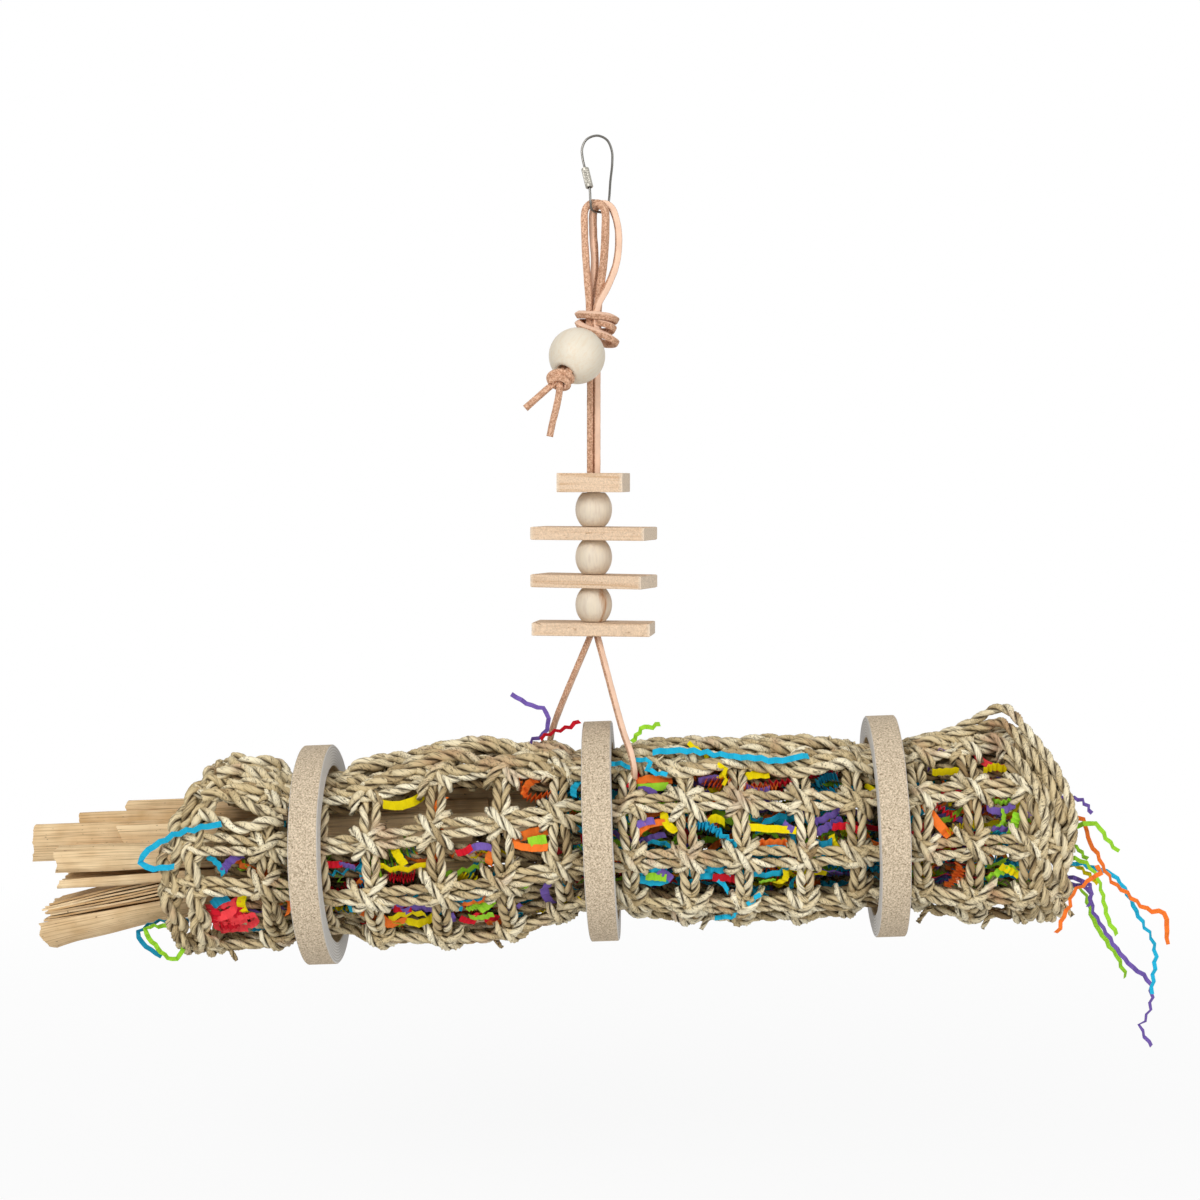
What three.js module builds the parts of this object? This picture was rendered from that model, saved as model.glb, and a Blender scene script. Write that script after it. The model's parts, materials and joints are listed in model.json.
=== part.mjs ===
// Hanging bird chew toy: a net tube of seagrass, stuffed with husks and paper shreds, that hangs
// on a leather lace under a stack of wooden slats and beads.
// Sizes are in millimetres. +Z is up, +X is to the right and the front faces -Y.
// The origin is the inside top of the cable ring, where it hangs on a bar.
import * as THREE from 'three';

// Gaps between pieces
const CONTACT_GAP = 0.3;
const SLIDING_CLEARANCE = 0.35;

// Steel cable ring and its screw barrel
const CABLE_DIAMETER = 1.6;
const CABLE_SIDES = 6;
const CABLE_STEPS = 44;
const CABLE_END_GAP = 2.4;
const CABLE_FOOT_Z = -39.9;
const BARREL_DIAMETER = 4.2;
const BARREL_LENGTH = 11.5;
const BARREL_SIDES = 16;
const BARREL_CENTRE = new THREE.Vector3(-5.25, -3.7, -22.3);
const BARREL_AXIS = new THREE.Vector3(-0.219, 0.298, 0.929).normalize();

// Leather lace: two laces side by side lie one pitch apart
const LACE_WIDTH = 3.8;
const LACE_SIDES = 8;
const LACE_CORNER = LACE_WIDTH / 2 / Math.cos(Math.PI / LACE_SIDES);
const LACE_PITCH = 2 * LACE_CORNER + CONTACT_GAP;
const LACE_HOLE = LACE_PITCH + 2 * LACE_CORNER + 2 * SLIDING_CLEARANCE;
const STRING_X = -1.8;
const STRAND_STEPS = 2;

// Two bights of lace over the foot of the cable ring
const BIGHT_STEPS = 30;
const ARCH_RADIUS = 5.6;
const ARCH_LEFT_X = -1.1;
const ARCH_RIGHT_X = 3.5;
const ARCH_SLACK = 1.4;
const ARCH_Z = CABLE_FOOT_Z + CABLE_DIAMETER / 2 + CONTACT_GAP + ARCH_SLACK + LACE_CORNER - ARCH_RADIUS;
const SHOULDER_Z = -50;
const WAIST_Z = -68;
const WAIST_TAPER = 0.9;
const RIGHT_BIGHT_BULGE = 2.4;
const KNOT_TOP_Z = -92;
const KNOT_BOTTOM_Z = -111;

// Wrapped knot round the lace's four legs
const WRAP_TURNS = 2;
const WRAP_STEPS_PER_TURN = 24;
const WRAP_SIDES = 6;
const WRAP_CORNER = LACE_WIDTH / 2 / Math.cos(Math.PI / WRAP_SIDES);
const WRAP_RADIUS = LACE_PITCH / Math.SQRT2 + LACE_CORNER + WRAP_CORNER + SLIDING_CLEARANCE;
const WRAP_TURN_GAP = 0.8;
const WRAP_PITCH = 2 * WRAP_CORNER + WRAP_TURN_GAP;
const WRAP_TOP_Z = -96.2;

// Wooden stack, its foot below the wrapped knot by the stack's drop
const BLOCK_SIDE = 35.5;
const BLOCK_THICKNESS = 10.3;
const BLOCK_TURN_DEG = -7.5;
const SLAT_LENGTH = 64.5;
const SLAT_WIDTH = 25;
const SLAT_THICKNESS = 7;
const SLAT_TURNS_DEG = { lower: -8, middle: -22, upper: -18 };
const BEAD_DIAMETER = 20;
const BEAD_HEIGHT = 18.3;
const BEAD_FLAT = 12.3;
const BEAD_SEGMENTS = 20;
const BEAD_ARC_STEPS = 8;
const HOLE_SEGMENTS = 16;
const STACK_DROP = 157.2;
const STACK_BOTTOM_Z = KNOT_BOTTOM_Z - STACK_DROP;
const SLING_ROOM = 1.6;
const SLING_GAP = 0.5;

// Large bead on the lace's tail, its stopper knot and the cut ends
const TAIL_BEAD_DIAMETER = 30;
const TAIL_BEAD_HEIGHT = 27;
const TAIL_BEAD_FLAT = 13;
const TAIL_BEAD_SEGMENTS = 24;
const TAIL_BEAD_CENTRE = new THREE.Vector3(-10.6, -21.0, -118.2);
const TAIL_DIRECTION = new THREE.Vector3(-0.461, -0.578, -0.673).normalize();
const TAIL_ROOT_LENGTH = 2.2;
const STOPPER_LENGTH = 17;
const STOPPER_WIDTH = 13.6;
const STOPPER_THICKNESS = 11.5;
const STOPPER_SEGMENTS = 14;
const TAIL_END_STEPS = 4;
const TAIL_END_ROUTES = {
  tail_end_left: [[-8, 0, 0.5], [-12, -0.5, -2.4], [-16.5, -1.2, -7.2], [-20.5, -1.8, -14.4],
    [-23.6, -2, -17.4]],
  tail_end_right: [[0.4, -2.6, -6.6], [-1.2, -2.8, -12], [-3, -2.6, -18], [-4.4, -2.4, -24],
    [-5.2, -2.4, -29.8]],
};

// Net tube: its axis below the stack, and the hoops and rows of its mesh
const TUBE_DROP = 111.2;
const TUBE_CENTRE = new THREE.Vector3(0, 0, STACK_BOTTOM_Z - TUBE_DROP);
const TUBE_TILT_DEG = 2.4;
const TUBE_TURN_DEG = -2;
const NET_LEFT = -238;
const NET_LENGTH = 500;
const NET_RIGHT = NET_LEFT + NET_LENGTH;
const NET_RADIUS = 43.6;
const HOOP_COUNT = 17;
const HOOP_WIDTH = 10;
const HOOP_PITCH = (NET_LENGTH - HOOP_WIDTH) / (HOOP_COUNT - 1);
const HOOP_THICKNESS = 5.6;
const ROW_COUNT = 9;
const ROW_START_DEG = -6;
const ROW_WIDTH = 8.4;
const ROW_THICKNESS = 8.2;
const LINE_EDGE = 2.2;
const NET_INNER_RADIUS = NET_RADIUS - ROW_THICKNESS / 2;
const hoopMiddle = (hoop) => NET_LEFT + HOOP_WIDTH / 2 + hoop * HOOP_PITCH;

// Card rings round the net
const RING_WALL = 11.8;
const RING_LENGTH = 15.5;
const RING_CLEARANCE = 0.5;
const RING_TRAVEL = 5;
const RING_SEGMENTS = 40;
const RINGS = {
  left: { along: -152, lift: -4.2 },
  middle: { along: 2.7, lift: 3.2 },
  right: { along: 157, lift: 0.6 },
};

// Between the rings the net swells upward and downward, and its middle strays from the axis
const NET_SWELLS = [
  { along: NET_LEFT, swell: 1.9, lift: -1.5 },
  { along: NET_LEFT + 26, swell: 4.6, lift: -2 },
  { along: -70, swell: 6.9, lift: 0 },
  { along: 80, swell: 1.8, lift: 1.8 },
  { along: NET_RIGHT - 40, swell: 3.4, lift: 0.5 },
  { along: NET_RIGHT, swell: 5.9, lift: 2 },
];

// Sling: the lace under the stack, a V whose feet go through the net and meet under its top rows
const SLING_STEPS = 36;
const SLING_ROUTE = [
  [9.6, -9.4, 84],
  [17.2, -19.4, 60],
  [20.8, -25.2, 49.5],
  [22.4, -26.8, 40.5],
  [21.4, -21.0, 33.4],
  [17.0, -10.4, 38.2],
  [0, 3.0, 39.6],
  [-17.0, 15.0, 37.0],
  [-25.0, 23.6, 29.6],
  [-27.4, 30.6, 32.4],
  [-26.8, 32.4, 42],
  [-23.4, 23.6, 57],
  [-13.6, 9.8, 84],
];

// Husk sheets in the left mouth: upright flat sheets from the front to the back, one folded sheet,
// and a rolled sheet that holds a stack of thin layers. Each stands out of the mouth by its reach.
const HUSK_THICKNESS = 3.4;
const HUSK_LENGTH = 230;
const HUSK_FRONT_Y = 3.6;
const FLAT_HUSKS = [
  { name: 'husk_upper_short', reach: 29, low: 4.4, high: 15 },
  { name: 'husk_upper_flat', reach: 77, low: -4, high: 16.5 },
  { name: 'husk_back_narrow', reach: 45, low: 3, high: 21 },
  { name: 'husk_back_wide', reach: 24, low: 8, high: 31.4 },
];
const FOLD_REACH = 59;
const FOLD_POINTS = [[-16, 6], [-2, 2], [3.4, -5], [2, -9.5], [-3, -13], [-15, -14.5]];
const ROLL_REACH = 70;
const ROLL_LENGTH = 120;
const ROLL_TILT_DEG = 4.5;
const ROLL_HALF_WIDTH = 16;
const ROLL_HALF_HEIGHT = 14.5;
const ROLL_STEPS = 10;
const ROLL_LIP_DEG = 5;
const LAYERS_INSET = 2;
const LAYERS_WIDTH = 23.2;
const LAYERS_THICKNESS = 9.6;
const LAYERS_CLEARANCE = 0.6;

// Paper filling: a thin open sleeve of the filling's outer size, and a bed under the husks
const FILL_WALL = 1.4;
const FILL_HALF_WIDTH = 34;
const FILL_HALF_HEIGHT = 33.5;
const FILL_START = -24;
const FILL_MOUTH_DEPTH = 22;
const FILL_END = NET_RIGHT - FILL_MOUTH_DEPTH;
const FILL_SEGMENTS = 24;
const BED_START = -150;
const BED_LENGTH = 90;
const BED_HALF_ANGLE_DEG = 50;
const BED_STEPS = 4;

// Paper strips
const STRIP_WIDTH = 3;
const STRIP_THICKNESS = 0.8;
const STRIP_STEP = 9;
const STRIP_ROOT_GAP = 0.7;
const LAST_GAP = Math.floor((RINGS.middle.along - hoopMiddle(0)) / HOOP_PITCH) - 0.5;

// Strips that hang out of the right mouth start at the filling's end, at an angle round it.
// Their points are measured along the tube from the mouth.
const HANGING_STRIPS = [
  { name: 'strip_orange_long', colour: 'orange', root: 15, route: [[-3, -26, 5], [1, -26, -9], [5, -26, -15],
    [11, -26, -28], [21, -26, -37], [32, -26, -46], [39, -26, -47], [40, -26, -64]] },
  { name: 'strip_green_short', colour: 'lime', root: -3, route: [[-5, -33, 3], [3, -33, 3], [9, -33, -6],
    [14, -33, -12]] },
  { name: 'strip_lime_upper', colour: 'lime', root: -22, route: [[-4, -30, -17], [3, -31, -25], [6, -31, -37],
    [9, -31, -50], [13, -31, -57]] },
  { name: 'strip_blue_long', colour: 'blue', root: -42, route: [[-4, -20, -20], [4, -20, -23], [14, -20, -27],
    [22, -20, -39], [28, -20, -52], [35, -20, -66], [34, -20, -82], [33, -20, -92]] },
  { name: 'strip_purple_long', colour: 'purple', root: -65, route: [[1, -13, -35], [5, -12, -49],
    [11, -12, -60], [16, -12, -68], [23, -12, -77], [28, -12, -82], [34, -12, -89], [32, -12, -106],
    [28, -12, -112], [34, -12, -123]] },
  { name: 'strip_lime_lower', colour: 'lime', root: -85, route: [[0, -2, -37.5], [5, -3, -51], [11, -4, -64],
    [19, -4, -76], [23, -4, -87]] },
];

// Strips that curl out of the net, measured along the tube from the place where each comes out, a
// mouth or the middle of the last gap between hoops before the middle ring, and above a height
const CURLED_STRIPS = [
  { name: 'strip_orange_short', colour: 'orange', from: NET_RIGHT, above: 0, route: [[1.6, -38.5, -18.5],
    [2.5, -44, -20.5], [-4, -48, -23], [-12, -48, -29], [-16, -48, -38], [-22, -48, -51]] },
  { name: 'strip_teal_left', colour: 'teal', from: NET_LEFT, above: 0, route: [[16, -23.5, -33.8],
    [-3, -22.5, -34.4], [-13, -23, -40], [-9, -23, -47], [-0.5, -23, -53]] },
  { name: 'strip_purple_top', colour: 'purple', from: hoopMiddle(LAST_GAP), above: NET_RADIUS, route: [
    [-10.1, 4, 36.4], [-2.1, 4, 30.9], [8.9, 3, 25.9], [7.9, 0, 14.9], [-0.1, -4.5, 10.4], [-2.6, -5.8, 3.4]] },
];

// Strips that lie on the net's hoops, as places along the tube from a mouth or ring and angles round
// it, lifted off the net's middle
const LYING_STRIPS = [
  { name: 'strip_blue_left', colour: 'blue', from: NET_LEFT, lift: 4.5, route: [[41, 28], [16, 21], [4, 14],
    [-2, 7], [3, 2], [16, 2]] },
  { name: 'strip_blue_front', colour: 'blue', from: RINGS.middle.along, lift: 3.7, route: [[30, 64], [52, 62],
    [70, 57], [86, 53], [100, 53], [113, 57]] },
];

// Finishes
function finish(color, roughness, metalness = 0) {
  return new THREE.MeshStandardMaterial({ color, roughness, metalness });
}

const STEEL = finish(0x8d8d8a, 0.32, 1);
const PLATED_BARREL = finish(0xd2cdc0, 0.35, 1);
const LEATHER = finish(0xcf9a78, 0.85);
const PINE = finish(0xe6c9a0, 0.75);
const TURNED_WOOD = finish(0xe9dcc0, 0.55);
const SEAGRASS = finish(0xb9a77c, 0.9);
const CARD = finish(0xbda88d, 0.9);
const HUSK = finish(0xcfae7e, 0.85);
const SHREDS = finish(0x8fb6a0, 0.9);
const STRIP_PAPER = {
  orange: finish(0xf2731d, 0.9),
  blue: finish(0x1fa3c4, 0.9),
  purple: finish(0x7a52a8, 0.9),
  lime: finish(0xa6db2b, 0.9),
  teal: finish(0x167a92, 0.9),
};

const radians = THREE.MathUtils.degToRad;
const vectors = (points) => points.map((point) => new THREE.Vector3(...point));

const toy = new THREE.Group();
const tube = new THREE.Group();
tube.position.copy(TUBE_CENTRE);
tube.rotation.set(0, -radians(TUBE_TILT_DEG), radians(TUBE_TURN_DEG), 'ZYX');
tube.updateMatrix();
toy.add(tube);

function addPiece(parent, name, geometry, material) {
  const mesh = new THREE.Mesh(geometry, material.clone());
  mesh.name = name;
  parent.add(mesh);
  return mesh;
}

// A regular polygon, given its number of sides and its width across the flats.
function polygonSection(sides, width) {
  const radius = width / 2 / Math.cos(Math.PI / sides);
  const corners = Array.from({ length: sides }, (_, i) => {
    const angle = (2 * Math.PI * (i + 0.5)) / sides;
    return new THREE.Vector2(radius * Math.cos(angle), radius * Math.sin(angle));
  });
  return new THREE.Shape(corners);
}

function rectangleSection(width, height) {
  const x = width / 2;
  const y = height / 2;
  return new THREE.Shape([[-x, -y], [x, -y], [x, y], [-x, y]].map((corner) => new THREE.Vector2(...corner)));
}

function sweep(section, curve, steps) {
  return new THREE.ExtrudeGeometry(section, { steps, bevelEnabled: false, extrudePath: curve });
}

function smoothCurve(points) {
  return new THREE.CatmullRomCurve3(points, false, 'centripetal');
}

function laceAlong(points, steps) {
  return sweep(polygonSection(LACE_SIDES, LACE_WIDTH), smoothCurve(points), steps);
}

// A closed profile of [radius, height] points, turned round Z.
function turned(profile, segments) {
  const points = [...profile, profile[0]].map(([radius, height]) => new THREE.Vector2(radius, height));
  return new THREE.LatheGeometry(points, segments).rotateX(Math.PI / 2);
}

// Turns a piece made along Z so that its axis points along the given direction.
function pointAlong(mesh, direction) {
  mesh.quaternion.setFromUnitVectors(new THREE.Vector3(0, 0, 1), direction);
}

// Cable ring: one cable whose two ends meet inside the screw barrel.
function buildCableRing() {
  const half = BARREL_LENGTH / 2;
  const onAxis = (offset) => BARREL_CENTRE.clone().addScaledVector(BARREL_AXIS, offset);
  const aside = LACE_PITCH / 2;
  const route = [
    onAxis(CABLE_END_GAP / 2),
    onAxis(half),
    ...vectors([
      [-7.8, -0.6, -11.0],
      [-8.0, 0, -6.0],
      [-5.6, 0, -1.3],
      [0, 0, CABLE_DIAMETER / 2],
      [5.2, 0, -1.4],
      [7.9, 0.4, -7.0],
      [8.2, 1.4, -13.5],
      [7.2, 3.6, -23.0],
      [6.4, 6.0, -33.0],
      [5.2, 4.9, -38.4],
      [ARCH_RIGHT_X, aside, CABLE_FOOT_Z],
      [(ARCH_LEFT_X + ARCH_RIGHT_X) / 2, 0, CABLE_FOOT_Z],
      [ARCH_LEFT_X, -aside, CABLE_FOOT_Z],
      [-2.9, -4.5, -39.0],
      [-3.5, -6.3, -35.6],
      [-3.7, -6.0, -31.0],
    ]),
    onAxis(-half),
    onAxis(-CABLE_END_GAP / 2),
  ];
  const section = polygonSection(CABLE_SIDES, CABLE_DIAMETER);
  addPiece(toy, 'cable_ring', sweep(section, smoothCurve(route), CABLE_STEPS), STEEL);

  const bore = CABLE_DIAMETER / 2 + SLIDING_CLEARANCE;
  const outer = BARREL_DIAMETER / 2;
  const wallProfile = [[bore, -half], [outer, -half], [outer, half], [bore, half]];
  const barrel = addPiece(toy, 'screw_barrel', turned(wallProfile, BARREL_SIDES), PLATED_BARREL);
  barrel.position.copy(BARREL_CENTRE);
  pointAlong(barrel, BARREL_AXIS);
}

// A bight of lace: up from the knot, over the cable in an arch, and back into the knot.
function bightRoute(archX, y, bulge) {
  const legSpread = LACE_PITCH / 2;
  const arch = [160, 125, 90, 55, 20].map((angle) => [
    archX + ARCH_RADIUS * Math.cos(radians(angle)),
    y,
    ARCH_Z + ARCH_RADIUS * Math.sin(radians(angle)),
  ]);
  return vectors([
    [STRING_X - legSpread, y, KNOT_BOTTOM_Z],
    [STRING_X - legSpread, y, KNOT_TOP_Z],
    [archX - ARCH_RADIUS + WAIST_TAPER, y, WAIST_Z],
    [archX - ARCH_RADIUS, y, SHOULDER_Z],
    ...arch,
    [archX + ARCH_RADIUS + bulge, y, SHOULDER_Z],
    [archX + ARCH_RADIUS + bulge - WAIST_TAPER, y, WAIST_Z],
    [STRING_X + legSpread, y, KNOT_TOP_Z],
    [STRING_X + legSpread, y, KNOT_BOTTOM_Z],
  ]);
}

class WrapCurve extends THREE.Curve {
  getPoint(t, target = new THREE.Vector3()) {
    const angle = 2 * Math.PI * WRAP_TURNS * t;
    return target.set(
      STRING_X + WRAP_RADIUS * Math.sin(angle),
      -WRAP_RADIUS * Math.cos(angle),
      WRAP_TOP_Z - WRAP_PITCH * WRAP_TURNS * t,
    );
  }
}

// Least distance between the surfaces of neighbouring turns, measured on points of the winding.
function leastTurnGap(curve, steps, stepsPerTurn, diameter) {
  const points = curve.getSpacedPoints(steps);
  let least = Infinity;
  points.forEach((point, i) => {
    points.slice(i + stepsPerTurn / 2).forEach((other) => {
      least = Math.min(least, point.distanceTo(other) - diameter);
    });
  });
  return least;
}

function buildHanger() {
  const aside = LACE_PITCH / 2;
  const leftRoute = bightRoute(ARCH_LEFT_X, -aside, 0);
  const rightRoute = bightRoute(ARCH_RIGHT_X, aside, RIGHT_BIGHT_BULGE);
  addPiece(toy, 'lace_bight_left', laceAlong(leftRoute, BIGHT_STEPS), LEATHER);
  addPiece(toy, 'lace_bight_right', laceAlong(rightRoute, BIGHT_STEPS), LEATHER);

  const wrap = new WrapCurve();
  const wrapSteps = WRAP_TURNS * WRAP_STEPS_PER_TURN;
  addPiece(toy, 'lace_wrap', sweep(polygonSection(WRAP_SIDES, LACE_WIDTH), wrap, wrapSteps), LEATHER);
  const wrapGap = leastTurnGap(wrap, wrapSteps, WRAP_STEPS_PER_TURN, 2 * WRAP_CORNER);
  console.log(`lace_wrap: least gap to itself ${wrapGap.toFixed(2)} mm`);
}

// A turned bead on Z: an ellipse cut flat at both ends, with a bore for the two laces.
function beadGeometry(diameter, height, flat, segments) {
  const half = height / 2;
  const cut = flat / diameter;
  const poleHeight = half / Math.sqrt(1 - cut * cut);
  const sweepAngle = Math.asin(half / poleHeight);
  const arc = Array.from({ length: BEAD_ARC_STEPS + 1 }, (_, i) => {
    const angle = -sweepAngle + (2 * sweepAngle * i) / BEAD_ARC_STEPS;
    return [(diameter / 2) * Math.cos(angle), poleHeight * Math.sin(angle)];
  });
  return turned([[LACE_HOLE / 2, -half], ...arc, [LACE_HOLE / 2, half]], segments);
}

// A board lying in XY with a round hole in its middle for the two laces.
function boardGeometry(length, width, thickness) {
  const outline = rectangleSection(length, width);
  const hole = new THREE.Path();
  hole.absarc(0, 0, LACE_HOLE / 2, 0, 2 * Math.PI, true);
  outline.holes.push(hole);
  const options = { depth: thickness, bevelEnabled: false, curveSegments: HOLE_SEGMENTS / 2 };
  return new THREE.ExtrudeGeometry(outline, options);
}

// Stack on the two laces, from the lowest slat up to the top block.
function buildStack() {
  let z = STACK_BOTTOM_Z;
  ['lower', 'middle', 'upper'].forEach((level) => {
    const slatShape = boardGeometry(SLAT_LENGTH, SLAT_WIDTH, SLAT_THICKNESS);
    const slat = addPiece(toy, `slat_${level}`, slatShape, PINE);
    slat.position.set(STRING_X, 0, z);
    slat.rotation.z = radians(SLAT_TURNS_DEG[level]);
    z += SLAT_THICKNESS + CONTACT_GAP;
    const beadShape = beadGeometry(BEAD_DIAMETER, BEAD_HEIGHT, BEAD_FLAT, BEAD_SEGMENTS);
    const bead = addPiece(toy, `bead_${level}`, beadShape, TURNED_WOOD);
    bead.position.set(STRING_X, 0, z + BEAD_HEIGHT / 2);
    z += BEAD_HEIGHT + CONTACT_GAP;
  });
  const block = addPiece(toy, 'top_block', boardGeometry(BLOCK_SIDE, BLOCK_SIDE, BLOCK_THICKNESS), PINE);
  block.position.set(STRING_X, 0, z);
  block.rotation.z = radians(BLOCK_TURN_DEG);

  const strandFoot = STACK_BOTTOM_Z + SLING_ROOM;
  const strandTop = KNOT_BOTTOM_Z - CONTACT_GAP;
  [['left', -1], ['right', 1]].forEach(([side, sign]) => {
    const x = STRING_X + (sign * LACE_PITCH) / 2;
    const route = vectors([[x, 0, strandTop], [x, 0, (strandTop + strandFoot) / 2], [x, 0, strandFoot]]);
    addPiece(toy, `lace_strand_${side}`, laceAlong(route, STRAND_STEPS), LEATHER);
  });
}

// Tail: two lace ends side by side through the large bead, a stopper knot and the cut ends.
function buildTail() {
  const beadShape = beadGeometry(TAIL_BEAD_DIAMETER, TAIL_BEAD_HEIGHT, TAIL_BEAD_FLAT, TAIL_BEAD_SEGMENTS);
  const bead = addPiece(toy, 'tail_bead', beadShape, TURNED_WOOD);
  bead.position.copy(TAIL_BEAD_CENTRE);
  pointAlong(bead, TAIL_DIRECTION);

  const aside = new THREE.Vector3().crossVectors(TAIL_DIRECTION, new THREE.Vector3(0, 0, 1)).normalize();
  const half = TAIL_BEAD_HEIGHT / 2;
  const onTail = (offset, side) => TAIL_BEAD_CENTRE.clone()
    .addScaledVector(TAIL_DIRECTION, offset)
    .addScaledVector(aside, (side * LACE_PITCH) / 2);
  [['left', 1], ['right', -1]].forEach(([side, sign]) => {
    const route = [-half - TAIL_ROOT_LENGTH, 0, half].map((offset) => onTail(offset, sign));
    addPiece(toy, `lace_tail_${side}`, laceAlong(route, STRAND_STEPS), LEATHER);
  });

  const knotCentre = onTail(half + CONTACT_GAP + STOPPER_THICKNESS / 2, 0);
  const knotShape = new THREE.SphereGeometry(0.5, STOPPER_SEGMENTS, STOPPER_SEGMENTS / 2 + 2);
  const knot = addPiece(toy, 'stopper_knot', knotShape, LEATHER);
  knot.position.copy(knotCentre);
  pointAlong(knot, TAIL_DIRECTION);
  knot.scale.set(STOPPER_LENGTH, STOPPER_WIDTH, STOPPER_THICKNESS);
  Object.entries(TAIL_END_ROUTES).forEach(([name, points]) => {
    const end = addPiece(toy, name, laceAlong(vectors(points), TAIL_END_STEPS), LEATHER);
    end.position.copy(knotCentre);
  });
}

// The net is round and level where a ring sits on it, over the ring's length and its travel.
const RING_SEATS = Object.values(RINGS).flatMap(({ along, lift }) => [-1, 1].map((side) => (
  { along: along + side * (RING_LENGTH / 2 + RING_TRAVEL), swell: 0, lift }
)));
const NET_STATIONS = [...NET_SWELLS, ...RING_SEATS].sort((a, b) => a.along - b.along);

// Swell and lift of the net at a distance along the tube, eased between its stations.
function netAt(along) {
  const last = NET_STATIONS.length - 1;
  const found = NET_STATIONS.findIndex((station) => station.along >= along);
  const next = THREE.MathUtils.clamp(found < 0 ? last : found, 1, last);
  const from = NET_STATIONS[next - 1];
  const to = NET_STATIONS[next];
  const share = THREE.MathUtils.smoothstep(along, from.along, to.along);
  return {
    swell: THREE.MathUtils.lerp(from.swell, to.swell, share),
    lift: THREE.MathUtils.lerp(from.lift, to.lift, share),
  };
}

// A point of the tube's section. The angle runs from the front over the top.
function tubePoint(along, angle, offset) {
  const { swell, lift } = netAt(along);
  const y = -(NET_RADIUS + offset) * Math.cos(angle);
  const z = lift + (NET_RADIUS + swell + offset) * Math.sin(angle);
  return new THREE.Vector3(along, y, z);
}

// Height of the inside of the net's lowest row at a distance along the tube.
function netFloor(along) {
  return tubePoint(along, -Math.PI / 2, -ROW_THICKNESS / 2).z;
}

// Net: hoops and rows that cross, as one shell with a window in every mesh.
// Each line has two edges and a thicker middle, so its section is a flattened hexagon.
function netGeometry() {
  const columns = [];
  for (let hoop = 0; hoop < HOOP_COUNT; hoop += 1) {
    const middle = hoopMiddle(hoop);
    columns.push({ at: middle - HOOP_WIDTH / 2, half: LINE_EDGE / 2, solid: true });
    columns.push({ at: middle, half: HOOP_THICKNESS / 2, solid: true });
    columns.push({ at: middle + HOOP_WIDTH / 2, half: LINE_EDGE / 2, solid: false });
  }
  const rows = [];
  const rowHalfAngle = ROW_WIDTH / 2 / NET_RADIUS;
  for (let row = 0; row < ROW_COUNT; row += 1) {
    const middle = radians(ROW_START_DEG) + (2 * Math.PI * row) / ROW_COUNT;
    rows.push({ at: middle - rowHalfAngle, half: LINE_EDGE / 2, solid: true });
    rows.push({ at: middle, half: ROW_THICKNESS / 2, solid: true });
    rows.push({ at: middle + rowHalfAngle, half: LINE_EDGE / 2, solid: false });
  }

  const positions = [];
  columns.forEach((column) => rows.forEach((row) => {
    const half = Math.max(column.half, row.half);
    positions.push(...tubePoint(column.at, row.at, half), ...tubePoint(column.at, row.at, -half));
  }));
  const outer = (i, j) => 2 * (i * rows.length + (j % rows.length));
  const inner = (i, j) => outer(i, j) + 1;
  const faces = [];
  const quad = (a, b, c, d) => faces.push(a, b, c, a, c, d);
  const filled = (i, j) => i >= 0 && i < columns.length - 1
    && (columns[i].solid || rows[(j + rows.length) % rows.length].solid);
  for (let i = 0; i < columns.length - 1; i += 1) {
    for (let j = 0; j < rows.length; j += 1) {
      if (filled(i, j)) {
        quad(outer(i, j), outer(i + 1, j), outer(i + 1, j + 1), outer(i, j + 1));
        quad(inner(i, j), inner(i, j + 1), inner(i + 1, j + 1), inner(i + 1, j));
        if (!filled(i - 1, j)) {
          quad(outer(i, j), outer(i, j + 1), inner(i, j + 1), inner(i, j));
        }
        if (!filled(i + 1, j)) {
          quad(outer(i + 1, j), inner(i + 1, j), inner(i + 1, j + 1), outer(i + 1, j + 1));
        }
        if (!filled(i, j - 1)) {
          quad(outer(i, j), inner(i, j), inner(i + 1, j), outer(i + 1, j));
        }
        if (!filled(i, j + 1)) {
          quad(outer(i, j + 1), outer(i + 1, j + 1), inner(i + 1, j + 1), inner(i, j + 1));
        }
      }
    }
  }
  const geometry = new THREE.BufferGeometry();
  geometry.setAttribute('position', new THREE.Float32BufferAttribute(positions, 3));
  geometry.setIndex(faces);
  geometry.computeVertexNormals();
  return geometry;
}

function buildRings() {
  const inner = NET_RADIUS + ROW_THICKNESS / 2 + RING_CLEARANCE;
  const outer = inner + RING_WALL;
  const half = RING_LENGTH / 2;
  const profile = [[outer, -half], [outer, half], [inner, half], [inner, -half]];
  Object.entries(RINGS).forEach(([place, { along, lift }]) => {
    const ring = addPiece(tube, `card_ring_${place}`, turned(profile, RING_SEGMENTS), CARD);
    ring.rotation.y = Math.PI / 2;
    ring.position.set(along, 0, lift);
  });
}

function buildSling() {
  const toTube = tube.matrix.clone().invert();
  const top = (sign) => new THREE.Vector3(
    STRING_X + (sign * LACE_PITCH) / 2,
    0,
    STACK_BOTTOM_Z - SLING_GAP,
  ).applyMatrix4(toTube);
  const route = [top(1), ...vectors(SLING_ROUTE), top(-1)];
  addPiece(tube, 'lace_sling', laceAlong(route, SLING_STEPS), LEATHER);
}

// A section in the tube's Y and Z, carried along its length.
function alongTube(section, length) {
  const toTubeAxes = new THREE.Matrix4().makeBasis(
    new THREE.Vector3(0, 1, 0),
    new THREE.Vector3(0, 0, 1),
    new THREE.Vector3(1, 0, 0),
  );
  return new THREE.ExtrudeGeometry(section, { depth: length, bevelEnabled: false }).applyMatrix4(toTubeAxes);
}

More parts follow.
